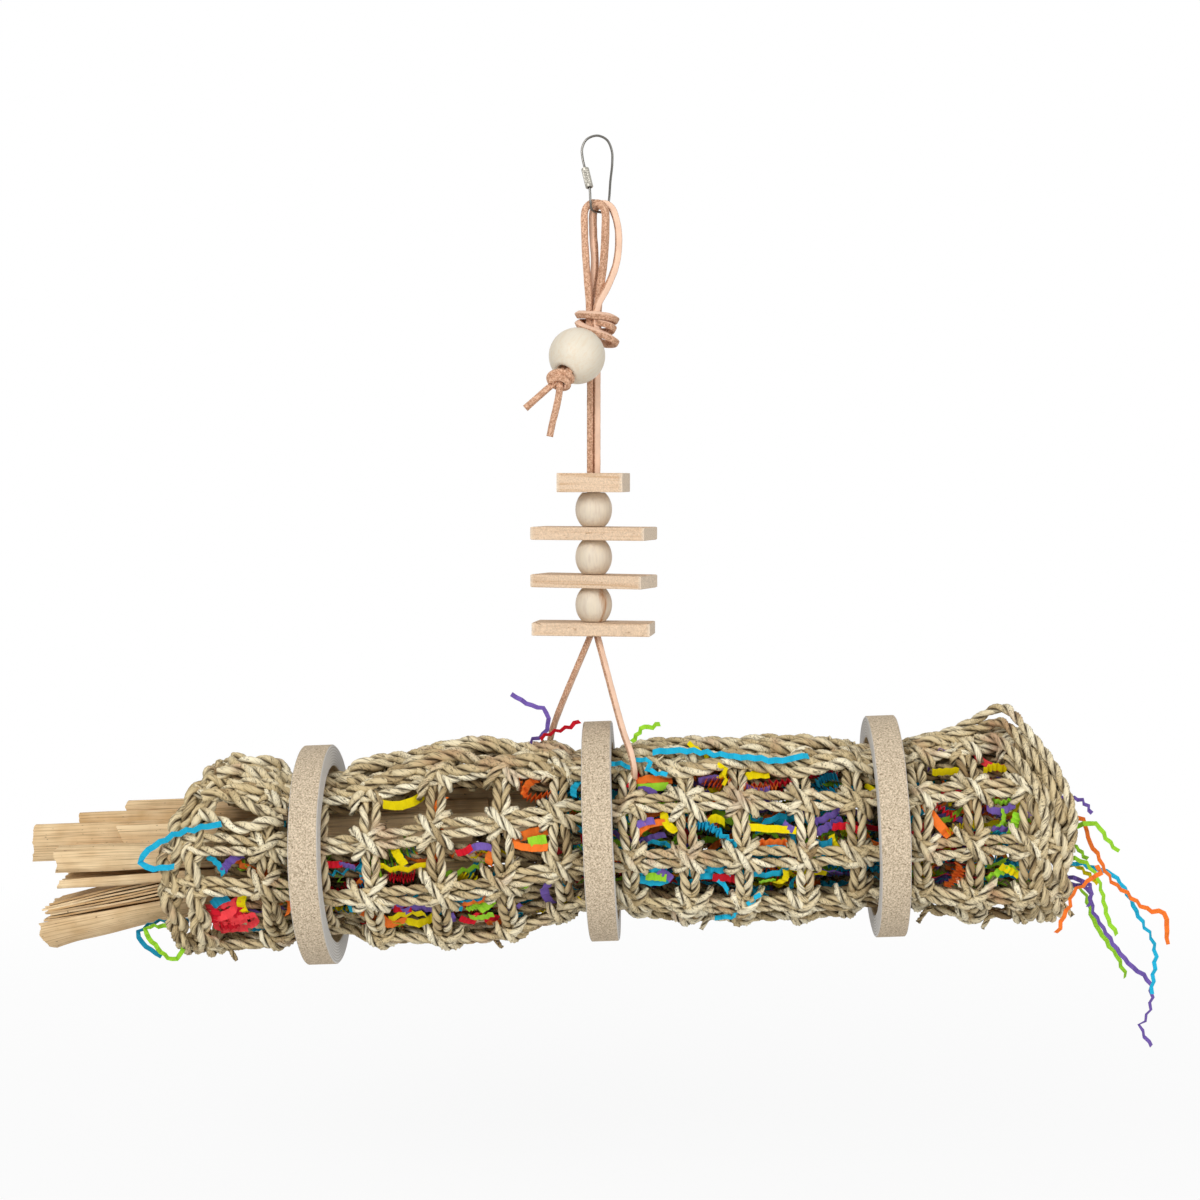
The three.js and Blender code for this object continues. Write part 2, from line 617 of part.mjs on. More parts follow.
// A sheet of even thickness that follows a list of [y, z] points, carried along the tube.
function sheetGeometry(points, thickness, length) {
  const line = points.map((point) => new THREE.Vector2(...point));
  const normals = line.map((point, i) => {
    const before = line[Math.max(i - 1, 0)];
    const after = line[Math.min(i + 1, line.length - 1)];
    const run = after.clone().sub(before).normalize();
    return new THREE.Vector2(-run.y, run.x).multiplyScalar(thickness / 2);
  });
  const front = line.map((point, i) => point.clone().add(normals[i]));
  const back = line.map((point, i) => point.clone().sub(normals[i])).reverse();
  return alongTube(new THREE.Shape([...front, ...back]), length);
}

// Points of an ellipse in Y and Z, from one angle to another.
function arcPoints(halfWidth, halfHeight, fromDeg, toDeg, steps) {
  return Array.from({ length: steps + 1 }, (_, i) => {
    const angle = radians(fromDeg + ((toDeg - fromDeg) * i) / steps);
    return [halfWidth * Math.cos(angle), halfHeight * Math.sin(angle)];
  });
}

// Husks, each a sheet that can be drawn out of the left mouth along its own length.
function buildHusks() {
  FLAT_HUSKS.forEach(({ name, reach, low, high }, i) => {
    const y = HUSK_FRONT_Y + i * (HUSK_THICKNESS + CONTACT_GAP);
    const sheet = sheetGeometry([[y, low], [y, high]], HUSK_THICKNESS, HUSK_LENGTH);
    addPiece(tube, name, sheet, HUSK).position.x = NET_LEFT - reach;
  });
  const fold = addPiece(tube, 'husk_folded', sheetGeometry(FOLD_POINTS, HUSK_THICKNESS, HUSK_LENGTH), HUSK);
  fold.position.x = NET_LEFT - FOLD_REACH;

  // The roll rests on the net's lowest row at the mouth, and the layers rest in the roll.
  const tilt = radians(ROLL_TILT_DEG);
  const roll = new THREE.Group();
  const rollDepth = (ROLL_HALF_HEIGHT + HUSK_THICKNESS / 2) / Math.cos(tilt);
  const seat = netFloor(NET_LEFT) + CONTACT_GAP + rollDepth;
  roll.position.set(NET_LEFT - ROLL_REACH, 0, seat - ROLL_REACH * Math.tan(tilt));
  roll.rotation.y = -tilt;
  tube.add(roll);
  const rollArc = arcPoints(ROLL_HALF_WIDTH, ROLL_HALF_HEIGHT, ROLL_LIP_DEG - 180, -ROLL_LIP_DEG, ROLL_STEPS);
  addPiece(roll, 'husk_roll', sheetGeometry(rollArc, HUSK_THICKNESS, ROLL_LENGTH), HUSK);
  const share = LAYERS_WIDTH / 2 / (ROLL_HALF_WIDTH - HUSK_THICKNESS / 2);
  const floor = -(ROLL_HALF_HEIGHT - HUSK_THICKNESS / 2) * Math.sqrt(1 - share * share);
  const middle = floor + LAYERS_CLEARANCE + LAYERS_THICKNESS / 2;
  const stack = sheetGeometry(
    [[-LAYERS_WIDTH / 2, middle], [LAYERS_WIDTH / 2, middle]],
    LAYERS_THICKNESS,
    ROLL_LENGTH,
  );
  addPiece(roll, 'husk_layers', stack, HUSK).position.x = LAYERS_INSET;
}

// Height of the filling's middle: it rests on the net's lowest row under the middle ring.
const FILL_MIDDLE_Z = netFloor(RINGS.middle.along) + CONTACT_GAP + FILL_HALF_HEIGHT;

function buildFilling() {
  const oval = (halfWidth, halfHeight) => new THREE.Path()
    .absellipse(0, 0, halfWidth, halfHeight, 0, 2 * Math.PI)
    .getPoints(FILL_SEGMENTS / 2);
  const outline = new THREE.Shape(oval(FILL_HALF_WIDTH, FILL_HALF_HEIGHT));
  outline.holes.push(new THREE.Path(oval(FILL_HALF_WIDTH - FILL_WALL, FILL_HALF_HEIGHT - FILL_WALL)));
  const fill = addPiece(tube, 'paper_fill', alongTube(outline, FILL_END - FILL_START), SHREDS);
  fill.position.set(FILL_START, 0, FILL_MIDDLE_Z);

  const bedRadius = NET_INNER_RADIUS - CONTACT_GAP - FILL_WALL / 2;
  const low = -90 - BED_HALF_ANGLE_DEG;
  const high = -90 + BED_HALF_ANGLE_DEG;
  const bedArc = arcPoints(bedRadius, bedRadius, low, high, BED_STEPS);
  const bed = addPiece(tube, 'paper_bed', sheetGeometry(bedArc, FILL_WALL, BED_LENGTH), SHREDS);
  bed.position.set(BED_START, 0, RINGS.left.lift);
}

function addStrip(name, colour, points) {
  const curve = smoothCurve(points);
  const steps = Math.ceil(curve.getLength() / STRIP_STEP);
  const section = rectangleSection(STRIP_WIDTH, STRIP_THICKNESS);
  addPiece(tube, name, sweep(section, curve, steps), STRIP_PAPER[colour]);
}

// Points that are measured along the tube from a given place, and upward from a given height.
function placedFrom(place, height, route) {
  return route.map(([along, y, z]) => new THREE.Vector3(place + along, y, height + z));
}

function buildStrips() {
  const rootAt = (angle) => new THREE.Vector3(
    FILL_END + STRIP_ROOT_GAP,
    -(FILL_HALF_WIDTH - FILL_WALL / 2) * Math.cos(radians(angle)),
    FILL_MIDDLE_Z + (FILL_HALF_HEIGHT - FILL_WALL / 2) * Math.sin(radians(angle)),
  );
  HANGING_STRIPS.forEach(({ name, colour, root, route }) => {
    addStrip(name, colour, [rootAt(root), ...placedFrom(NET_RIGHT, 0, route)]);
  });
  CURLED_STRIPS.forEach(({ name, colour, from, above, route }) => {
    addStrip(name, colour, placedFrom(from, above, route));
  });
  LYING_STRIPS.forEach(({ name, colour, from, lift, route }) => {
    addStrip(name, colour, route.map(([along, angle]) => tubePoint(from + along, radians(angle), lift)));
  });
}

buildCableRing();
buildHanger();
buildStack();
buildTail();
addPiece(tube, 'seagrass_net', netGeometry(), SEAGRASS);
buildRings();
buildSling();
buildHusks();
buildFilling();
buildStrips();

export default toy;
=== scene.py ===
"""Looks of a hanging bird chew toy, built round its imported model.

Shapes are worked out in millimetres and become metres when a mesh is made. +Z is up, +X is to the
right, the front faces -Y, and the origin is the inside top of the cable ring.
"""
import json
import logging
import math
from collections.abc import Callable
from dataclasses import dataclass
from enum import Enum
from functools import partial

import bpy
import numpy as np
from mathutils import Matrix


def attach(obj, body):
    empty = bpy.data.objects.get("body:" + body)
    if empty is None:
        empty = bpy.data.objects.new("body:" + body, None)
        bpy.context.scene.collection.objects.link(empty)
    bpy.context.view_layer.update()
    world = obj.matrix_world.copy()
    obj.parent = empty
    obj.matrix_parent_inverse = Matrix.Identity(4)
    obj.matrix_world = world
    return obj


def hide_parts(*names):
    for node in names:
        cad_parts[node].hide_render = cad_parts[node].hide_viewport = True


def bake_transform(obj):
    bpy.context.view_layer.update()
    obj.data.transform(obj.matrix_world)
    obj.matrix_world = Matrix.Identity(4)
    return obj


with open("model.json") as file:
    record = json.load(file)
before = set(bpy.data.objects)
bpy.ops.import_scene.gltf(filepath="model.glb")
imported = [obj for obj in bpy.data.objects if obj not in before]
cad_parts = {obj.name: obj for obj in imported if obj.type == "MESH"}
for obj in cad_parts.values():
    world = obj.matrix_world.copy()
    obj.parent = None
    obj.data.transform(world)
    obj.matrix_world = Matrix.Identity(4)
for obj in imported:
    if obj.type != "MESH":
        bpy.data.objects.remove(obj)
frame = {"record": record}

Array = np.ndarray
Rng = np.random.Generator
LOG = logging.getLogger("chew_toy")
MM = 0.001
SEED = 20
ALONG, UP = np.array([1.0, 0.0, 0.0]), np.array([0.0, 0.0, 1.0])
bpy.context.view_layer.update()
BODY_OF = {
    node: body
    for body, nodes in frame["record"]["behaviour"]["bodies"].items()
    for node in nodes
}


# ---- arithmetic on whole arrays


def seeded(number: int) -> Rng:
    """A source of random numbers that gives the same ones each run."""
    return np.random.default_rng(SEED + number)


def unit(vectors: Array) -> Array:
    """Vectors divided by their own length."""
    return vectors / np.maximum(np.linalg.norm(vectors, axis=-1, keepdims=True), 1e-9)


def ease(share: Array) -> Array:
    """A share from 0 to 1 that starts and stops gently: 3t^2 - 2t^3."""
    t = np.clip(share, 0.0, 1.0)
    return t * t * (3.0 - 2.0 * t)


def ripple(at: Array, rng: Rng, shortest: float, longest: float, waves: int = 4) -> Array:
    """A smooth random line: a sum of sine waves of random length and phase, about -1 to 1.

    Args:
        at: places along each line, with the line on the last axis.
        rng: random source.
        shortest: shortest wave, in the unit of `at`.
        longest: longest wave.
        waves: number of waves.

    Returns:
        Heights of the same shape as `at`.
    """
    shape = (waves, *at.shape[:-1], 1)
    lengths = rng.uniform(shortest, longest, shape)
    phases = rng.uniform(0.0, 2.0 * np.pi, shape)
    return np.sin(2.0 * np.pi * at / lengths + phases).sum(axis=0) / waves**0.5 * 0.7


def loop_ripple(angle: Array, rng: Rng, orders: tuple[int, ...]) -> Array:
    """A smooth random line that closes on itself: whole-numbered sine waves of random phase.

    Args:
        angle: angles round the loop, on the last axis.
        rng: random source.
        orders: number of waves in each sine.

    Returns:
        Heights of the same shape as `angle`.
    """
    phases = rng.uniform(0.0, 2.0 * np.pi, (len(orders), *angle.shape[:-1], 1))
    waves = [np.sin(order * angle + phase) for order, phase in zip(orders, phases)]
    return np.sum(waves, axis=0) / len(orders) ** 0.5 * 0.7


def run_of(path: Array) -> Array:
    """Distance along a polyline from its start to each of its points."""
    return np.concatenate([[0.0], np.cumsum(np.linalg.norm(np.diff(path, axis=0), axis=1))])


def round_angles(count: int) -> Array:
    """Angles of evenly spaced points round a circle."""
    return 2 * np.pi * np.arange(count) / count


def resample(dense: Array, step: float) -> Array:
    """Points spaced evenly along a polyline.

    Args:
        dense: (n, d) points of the polyline.
        step: distance between the points returned.

    Returns:
        The evenly spaced points.
    """
    run = run_of(dense)
    count = max(int(math.ceil(run[-1] / step)), 2) + 1
    places = np.linspace(0.0, run[-1], count)
    return np.stack([np.interp(places, run, column) for column in dense.T], axis=1)


def smooth_path(points: list, step: float) -> Array:
    """A centripetal Catmull-Rom curve through the points, spaced evenly.

    Args:
        points: given points of the route.
        step: distance between the points returned.

    Returns:
        An (n, d) array along the curve.
    """
    knots = np.asarray(points, float)
    ends = np.vstack([2 * knots[0] - knots[1], knots, 2 * knots[-1] - knots[-2]])
    p0, p1, p2, p3 = ends[:-3], ends[1:-2], ends[2:-1], ends[3:]
    d0, d1, d2 = (
        np.maximum(np.linalg.norm(b - a, axis=1, keepdims=True) ** 0.5, 1e-6)
        for a, b in ((p0, p1), (p1, p2), (p2, p3))
    )
    m1 = ((p1 - p0) / d0 - (p2 - p0) / (d0 + d1) + (p2 - p1) / d1) * d1
    m2 = ((p2 - p1) / d1 - (p3 - p1) / (d1 + d2) + (p3 - p2) / d2) * d1
    t = np.linspace(0.0, 1.0, 24, endpoint=False)[None, :, None]
    p1, p2, m1, m2 = (a[:, None, :] for a in (p1, p2, m1, m2))
    curve = (2 * t**3 - 3 * t**2 + 1) * p1 + (t**3 - 2 * t**2 + t) * m1
    curve = curve + (3 * t**2 - 2 * t**3) * p2 + (t**3 - t**2) * m2
    return resample(np.vstack([curve.reshape(-1, knots.shape[1]), knots[-1:]]), step)


def frames(path: Array, outward: Array, closed: bool = False) -> tuple[Array, Array, Array]:
    """Axes carried along paths: the tangent, `outward` made square to it, and their cross product.

    Args:
        path: points, with the path on the second last axis.
        outward: one direction for all points, or one each.
        closed: whether the path's end joins its start.

    Returns:
        Tangents, normals and sides, each of the path's shape.
    """
    if closed:
        run = np.roll(path, -1, axis=-2) - np.roll(path, 1, axis=-2)
    else:
        run = np.gradient(path, axis=-2)
    tangent = unit(run)
    outward = np.broadcast_to(outward, path.shape)
    normal = unit(outward - (outward * tangent).sum(axis=-1, keepdims=True) * tangent)
    return tangent, normal, np.cross(tangent, normal)


def turn_about(axis: int, degrees: float) -> Array:
    """Rotation matrix about X, Y or Z, given as 0, 1 or 2."""
    c, s = math.cos(math.radians(degrees)), math.sin(math.radians(degrees))
    return np.roll([[1.0, 0.0, 0.0], [0.0, c, -s], [0.0, s, c]], axis, axis=(0, 1))


def turned(radii: Array, angle: Array, heights: Array) -> Array:
    """Points of a turned form: at each angle the radius to X and Y, and the height."""
    x, y = radii * np.cos(angle), radii * np.sin(angle)
    return np.stack(np.broadcast_arrays(x, y, heights), axis=-1)


def axes_to(direction: Array) -> Array:
    """Rotation matrix whose third column is the direction, so that Z points along it."""
    z = unit(np.asarray(direction, float))
    x = unit(np.cross(np.array([0.0, 1.0, 0.0]), z))
    return np.stack([x, np.cross(z, x), z], axis=1)


# ---- surfaces and meshes


@dataclass
class Surface:
    """A closed shell of quads and end caps, with what its material reads.

    `tone` is one number at each point and `grain` is a place in the material, such as a place in the
    board that a slat was cut from.
    """

    points: Array
    quads: Array
    caps: list[Array]
    uv: Array
    tone: Array
    grain: Array


def tubes(
    grid: Array,
    closed: bool = False,
    along: Array | None = None,
    tone: Array | float = 0.5,
    grain: Array | None = None,
    capped: bool = True,
) -> Surface:
    """Skins a batch of tubes, given as rings of points along each.

    Args:
        grid: (m, n, k, 3) points, k round each ring, n rings on each of m tubes.
        closed: whether each end joins its start.
        along: (m, n) distance of each ring.
        tone: the number at each point, of a shape that fits (m, n, k).
        grain: place in the material, or the points themselves.
        capped: whether open ends get a flat cap.

    Returns:
        The tubes as one surface, faces outward.
    """
    m, n, k, _ = grid.shape
    index = np.arange(m * n * k).reshape(m, n, k)
    beside = np.roll(index, -1, axis=2)
    if along is None:
        along = np.broadcast_to(np.arange(n, dtype=float), (m, n))
    step = np.mean(np.diff(along, axis=1), axis=1, keepdims=True)
    rings = n if closed else n - 1
    ahead = np.roll(index, -1, axis=1)[:, :rings]
    ahead_beside = np.roll(beside, -1, axis=1)[:, :rings]
    quads = np.stack([index[:, :rings], beside[:, :rings], ahead_beside, ahead], axis=-1)
    u = np.broadcast_to(np.arange(k) / k, (m, rings, k))
    v = np.broadcast_to(along[:, :rings, None], (m, rings, k))
    v_ahead = np.broadcast_to((along[:, :rings] + step)[:, :, None], (m, rings, k))
    corners = [(u, v), (u + 1.0 / k, v), (u + 1.0 / k, v_ahead), (u, v_ahead)]
    uv = np.stack([np.stack(corner, axis=-1) for corner in corners], axis=-2)
    caps = [index[:, 0, ::-1], index[:, -1, :]] if capped and not closed else []
    tones = np.broadcast_to(np.asarray(tone, float), (m, n, k))
    places = grid if grain is None else grain
    return Surface(
        grid.reshape(-1, 3), quads.reshape(-1, 4), caps, uv.reshape(-1, 4, 2),
        tones.reshape(-1), np.broadcast_to(places, grid.shape).reshape(-1, 3),
    )


def leaf(middle: Array, thickness: float, tone: Array | float = 0.5, grain: Array | None = None) -> Surface:
    """A thin closed sheet: a grid of its middle, moved out along its normal on both faces.

    Args:
        middle: (n, k, 3) grid of the sheet's middle.
        thickness: its thickness.
        tone: the number at each point, of a shape that fits (n, k).
        grain: place in the material, of the grid's shape.

    Returns:
        Both faces and all four edges as one surface.
    """
    n, k, _ = middle.shape
    normal = unit(np.cross(np.gradient(middle, axis=1), np.gradient(middle, axis=0)))
    half = normal * thickness / 2
    both = np.concatenate([middle + half, (middle - half)[:, ::-1]], axis=1)
    tones = np.broadcast_to(np.asarray(tone, float), (n, k))
    places = middle if grain is None else grain
    made = tubes(
        both[None],
        tone=np.concatenate([tones, tones[:, ::-1]], axis=1)[None],
        grain=np.concatenate([places, places[:, ::-1]], axis=1)[None],
        capped=False,
    )
    top = np.arange(k - 1)
    end = np.stack([top, top + 1, 2 * k - 2 - top, 2 * k - 1 - top], axis=1)
    made.quads = np.vstack([made.quads, end[:, ::-1], end + (n - 1) * 2 * k])
    made.uv = np.concatenate([made.uv, np.zeros((2 * (k - 1), 4, 2))])
    return made


def add_object(name: str, data: bpy.types.ID) -> bpy.types.Object:
    """Puts a new object into the scene, at the origin."""
    made = bpy.data.objects.new(name, data)
    bpy.context.scene.collection.objects.link(made)
    return made


def make_piece(
    name: str,
    surfaces: list[Surface],
    finish: "Finish",
    *nodes: str,
    sharp_deg: float | None = None,
    rides: bool = True,
) -> bpy.types.Object:
    """Makes one mesh object of surfaces, in metres, that takes the place of CAD nodes of one body.

    Args:
        name: the piece's name.
        surfaces: the shells that it is made of.
        finish: its material, with the slot that it belongs to.
        nodes: the CAD nodes, whose body it rides on.
        sharp_deg: angle over which an edge is sharp; None is all smooth, 0 all flat.
        rides: False for a piece that is not attached to a body.

    Returns:
        The object, at the origin.
    """

    def joined(field: str) -> Array:
        """One of the surfaces' arrays, end to end."""
        return np.concatenate([getattr(s, field) for s in surfaces])

    starts = np.cumsum([0] + [len(s.points) for s in surfaces])
    quads = np.vstack([s.quads + start for s, start in zip(surfaces, starts)])
    caps = [row + start for s, start in zip(surfaces, starts) for cap in s.caps for row in cap]
    corners = np.concatenate([quads.reshape(-1), *caps]).astype(np.int32)
    sizes = np.concatenate([np.full(len(quads), 4), [len(cap) for cap in caps]]).astype(np.int32)
    mesh = bpy.data.meshes.new(name)
    points = joined("points") * MM
    mesh.vertices.add(len(points))
    mesh.vertices.foreach_set("co", points.astype(np.float32).ravel())
    mesh.loops.add(len(corners))
    mesh.loops.foreach_set("vertex_index", corners)
    mesh.polygons.add(len(sizes))
    mesh.polygons.foreach_set("loop_start", (np.cumsum(sizes) - sizes).astype(np.int32))
    uv = np.zeros((len(corners), 2), np.float32)
    uv[: quads.size] = joined("uv").reshape(-1, 2)
    uv[:, 1] *= MM
    mesh.uv_layers.new(name="run").data.foreach_set("uv", uv.ravel())
    tone = mesh.attributes.new("tone", "FLOAT", "POINT")
    tone.data.foreach_set("value", joined("tone").astype(np.float32))
    grain = mesh.attributes.new("grain", "FLOAT_VECTOR", "POINT")
    grain.data.foreach_set("vector", (joined("grain") * MM).astype(np.float32).ravel())
    mesh.update(calc_edges=True)
    mesh.validate()
    if sharp_deg == 0:
        mesh.shade_flat()
    else:
        mesh.shade_smooth()
        if sharp_deg is not None:
            mesh.set_sharp_from_angle(angle=math.radians(sharp_deg))
    piece = add_object(name, mesh)
    mesh.materials.append(finish.material())
    if rides:
        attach(piece, BODY_OF[nodes[0]])
    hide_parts(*nodes)
    LOG.info("%s: %d faces", name, len(sizes))
    return piece


# ---- finishes


Socket = bpy.types.NodeSocket
Adder = Callable[..., Socket]
# What a pattern reads: the place in the toy, the place in the material, and the number at each point.
PLACE = {"kind": "TexCoord", "out": "Object"}
GRAIN = {"kind": "Attribute", "out": "Vector", "attribute_name": "grain"}
TONE = {"kind": "Attribute", "out": "Fac", "attribute_name": "tone"}


def linear(code: str) -> tuple[float, float, float, float]:
    """An sRGB hex value such as #A07850 as linear red, green, blue and a full alpha."""
    srgb = np.array([int(code[i : i + 2], 16) for i in (1, 3, 5)]) / 255.0
    light = np.where(srgb <= 0.04045, srgb / 12.92, ((srgb + 0.055) / 1.055) ** 2.4)
    return (*light.tolist(), 1.0)


def per_metre(size: float) -> float:
    """How often a pattern of a size in millimetres repeats in a metre."""
    return 1 / (size * MM)


def add_node(
    tree: bpy.types.NodeTree,
    kind: str,
    inputs: dict | None = None,
    out: int | str = 0,
    stops: tuple = (),
    **settings: object,
) -> Socket | None:
    """Adds a shader node with its settings, input values and links.

    Args:
        tree: the node tree of a material or of the surround.
        kind: the node's type, less the part that all share.
        inputs: socket to a value, or to the output that it is linked from.
        out: the output that is wanted.
        stops: places and hex colours of a colour ramp.
        settings: the node's own properties.

    Returns:
        The output, where the node has one.
    """
    node = tree.nodes.new("ShaderNode" + kind)
    for key, value in settings.items():
        setattr(node, key, value)
    for key, value in (inputs or {}).items():
        if isinstance(value, Socket):
            tree.links.new(value, node.inputs[key])
        else:
            node.inputs[key].default_value = value
    if stops:
        ramp = node.color_ramp.elements
        for number, (place, code) in ((0, stops[0]), (1, stops[-1])):
            ramp[number].position, ramp[number].color = place, linear(code)
        for place, code in stops[1:-1]:
            ramp.new(place).color = linear(code)
    return node.outputs[out] if node.outputs else None


def adder(owner: bpy.types.Material | bpy.types.World) -> Adder:
    """Empties a material's or world's node tree, and gives add_node for it."""
    owner.use_nodes = True
    owner.node_tree.nodes.clear()
    return partial(add_node, owner.node_tree)


def streaks(add: Adder, place: Socket, counts: tuple, **noise: float) -> Socket:
    """A pattern drawn out along a grain: noise of the place times a count per metre on each axis."""
    stretched = add("VectorMath", {0: place, 1: counts}, operation="MULTIPLY")
    return add("TexNoise", {"Vector": stretched, "Scale": 1.0, **noise})


def stain(
    add: Adder, ground: Socket | tuple, code: str, pattern: Socket, low: float, high: float, most: float = 1.0
) -> Socket:
    """Lays a hex colour over a ground, more of it as a pattern goes from `low` to `high`.

    Args:
        add: adds nodes to the material.
        ground: the colour below.
        code: the colour laid over it.
        pattern: where it lies.
        low: where there is none.
        high: where there is most.
        most: its greatest share.

    Returns:
        The stained colour.
    """
    share = add("MapRange", {"Value": pattern, "From Min": low, "From Max": high, "To Max": most})
    return add("Mix", {"Factor": share, 6: ground, 7: linear(code)}, out=2, data_type="RGBA")


def dapple(add: Adder, ground: Socket | tuple, pattern: Socket, span: tuple, light: tuple) -> Socket:
    """Dims or lightens a ground: times a light that goes with a pattern over a span of its values."""
    share = add("MapRange", {
        "Value": pattern, "From Min": span[0], "From Max": span[1], "To Min": light[0], "To Max": light[1],
    })
    return add("VectorMath", {0: ground, "Scale": share}, operation="SCALE")


@dataclass(frozen=True)
class Finish:
    """A material with the record's slot that it belongs to. Each kind has its own look."""

    name: str
    slot: str

    def material(self) -> bpy.types.Material:
        """The material, made once and used again by every piece of this finish."""
        made = bpy.data.materials.get(self.name)
        if made is None:
            made = bpy.data.materials.new(self.name)
            add = adder(made)
            add("OutputMaterial", {"Surface": add("BsdfPrincipled", self.look(add))})
        return made

    def look(self, add: Adder) -> dict:
        """What the shader's sockets hold or are linked from."""
        raise NotImplementedError


@dataclass(frozen=True)
class BareMetal(Finish):
    """Drawn or plated metal: a clear mirror-like gloss, a little uneven from handling."""

    colour: str = "#8D8D8A"
    roughness: tuple = (0.24, 0.42)
    smudge_size: float = 3.0

    def look(self, add: Adder) -> dict:
        """Smudges a few millimetres wide change how sharp the gloss is."""
        smudge = add("TexNoise", {"Vector": add(**PLACE), "Scale": per_metre(self.smudge_size)})
        low, high = self.roughness
        return {
            "Base Color": linear(self.colour), "Metallic": 1.0,
            "Roughness": add("MapRange", {"Value": smudge, "To Min": low, "To Max": high}),
        }


@dataclass(frozen=True)
class LaceLeather(Finish):
    """Vegetable-tanned leather lace: one smooth tan side and three suede sides with a short nap."""

    smooth: str = "#F1CBB0"
    suede: str = "#E6BB9C"
    deep: str = "#9C6746"
    nap_size: float = 1.0
    patch_size: float = 7.0

    def look(self, add: Adder) -> dict:
        """Tone 0 is the smooth side. The nap is drawn about twice as coarse as real, to show."""
        place, side = add(**PLACE), add(**TONE)
        nap_scale = {"Scale": per_metre(self.nap_size), "Detail": 5.0, "Roughness": 0.7}
        nap = add("TexNoise", {"Vector": place, **nap_scale})
        patch = add("TexNoise", {"Vector": place, "Scale": per_metre(self.patch_size)})
        sides = {6: linear(self.smooth), 7: linear(self.suede)}
        skin = add("Mix", {"Factor": side, **sides}, out=2, data_type="RGBA")
        dark = add("MapRange", {"Value": nap, "From Min": 0.58, "From Max": 0.42, "To Max": 0.75})
        share = add("Math", {0: dark, 1: side}, operation="MULTIPLY")
        worn = add("Mix", {"Factor": share, 6: skin, 7: linear(self.deep)}, out=2, data_type="RGBA")
        return {
            "Base Color": dapple(add, worn, patch, (0.3, 0.7), (0.9, 1.06)),
            "Roughness": 0.82, "Specular IOR Level": 0.25,
            "Normal": add("Bump", {"Strength": 0.5, "Distance": 0.0004, "Height": nap}),
        }


@dataclass(frozen=True)
class SawnPine(Finish):
    """Rough-sawn pale pine: faint growth lines along the board, a sawn speckle and brown flecks."""

    pale: str = "#E2C6A8"
    line: str = "#CAA580"
    end: str = "#E6D3BC"
    fleck: str = "#94693F"
    line_width: float = 1.8
    speckle_size: float = 0.9

    def look(self, add: Adder) -> dict:
        """The grain attribute is the place in the board, X along it. Tone 1 is a cut end."""
        place, end = add(**GRAIN), add(**TONE)
        across = per_metre(self.line_width)
        lines = streaks(add, place, (16.0, across, across), Detail=3.0, Distortion=0.4)
        speckle = add("TexNoise", {
            "Vector": place, "Scale": per_metre(self.speckle_size), "Detail": 3.0, "Roughness": 0.7,
        })
        fleck = streaks(add, place, (240.0, 700.0, 700.0))
        wood = add("ValToRGB", {"Fac": lines}, stops=((0.28, self.line), (0.5, self.pale), (0.75, self.pale)))
        flecked = stain(add, wood, self.fleck, fleck, 0.67, 0.76, 0.7)
        ended = add("Mix", {"Factor": end, 6: flecked, 7: linear(self.end)}, out=2, data_type="RGBA")
        return {
            "Base Color": dapple(add, ended, speckle, (0.3, 0.7), (0.74, 1.14)),
            "Roughness": 0.75, "Specular IOR Level": 0.25,
            "Normal": add("Bump", {"Strength": 0.4, "Distance": 0.0003, "Height": speckle}),
        }


@dataclass(frozen=True)
class TurnedWood(Finish):
    """A turned and sanded whitewood bead: satin cream, faint grain, a heartwood streak on some."""

    pale: str = "#DFD5C2"
    line: str = "#DDCDB4"
    heart: str = "#AC7C52"
    line_width: float = 1.3

    def look(self, add: Adder) -> dict:
        """The grain runs along the grain attribute's Z. Tone is the share of heartwood."""
        place, heart = add(**GRAIN), add(**TONE)
        across = per_metre(self.line_width)
        lines = streaks(add, place, (across, across, 45.0), Detail=3.0, Distortion=0.6)
        wood = add("ValToRGB", {"Fac": lines}, stops=((0.3, self.line), (0.55, self.pale), (0.8, self.pale)))
        share = add("Math", {0: lines, 1: heart}, operation="MULTIPLY")
        return {
            "Base Color": stain(add, wood, self.heart, share, 0.15, 0.6), "Roughness": 0.5,
            "Normal": add("Bump", {"Strength": 0.12, "Distance": 0.0002, "Height": lines}),
        }


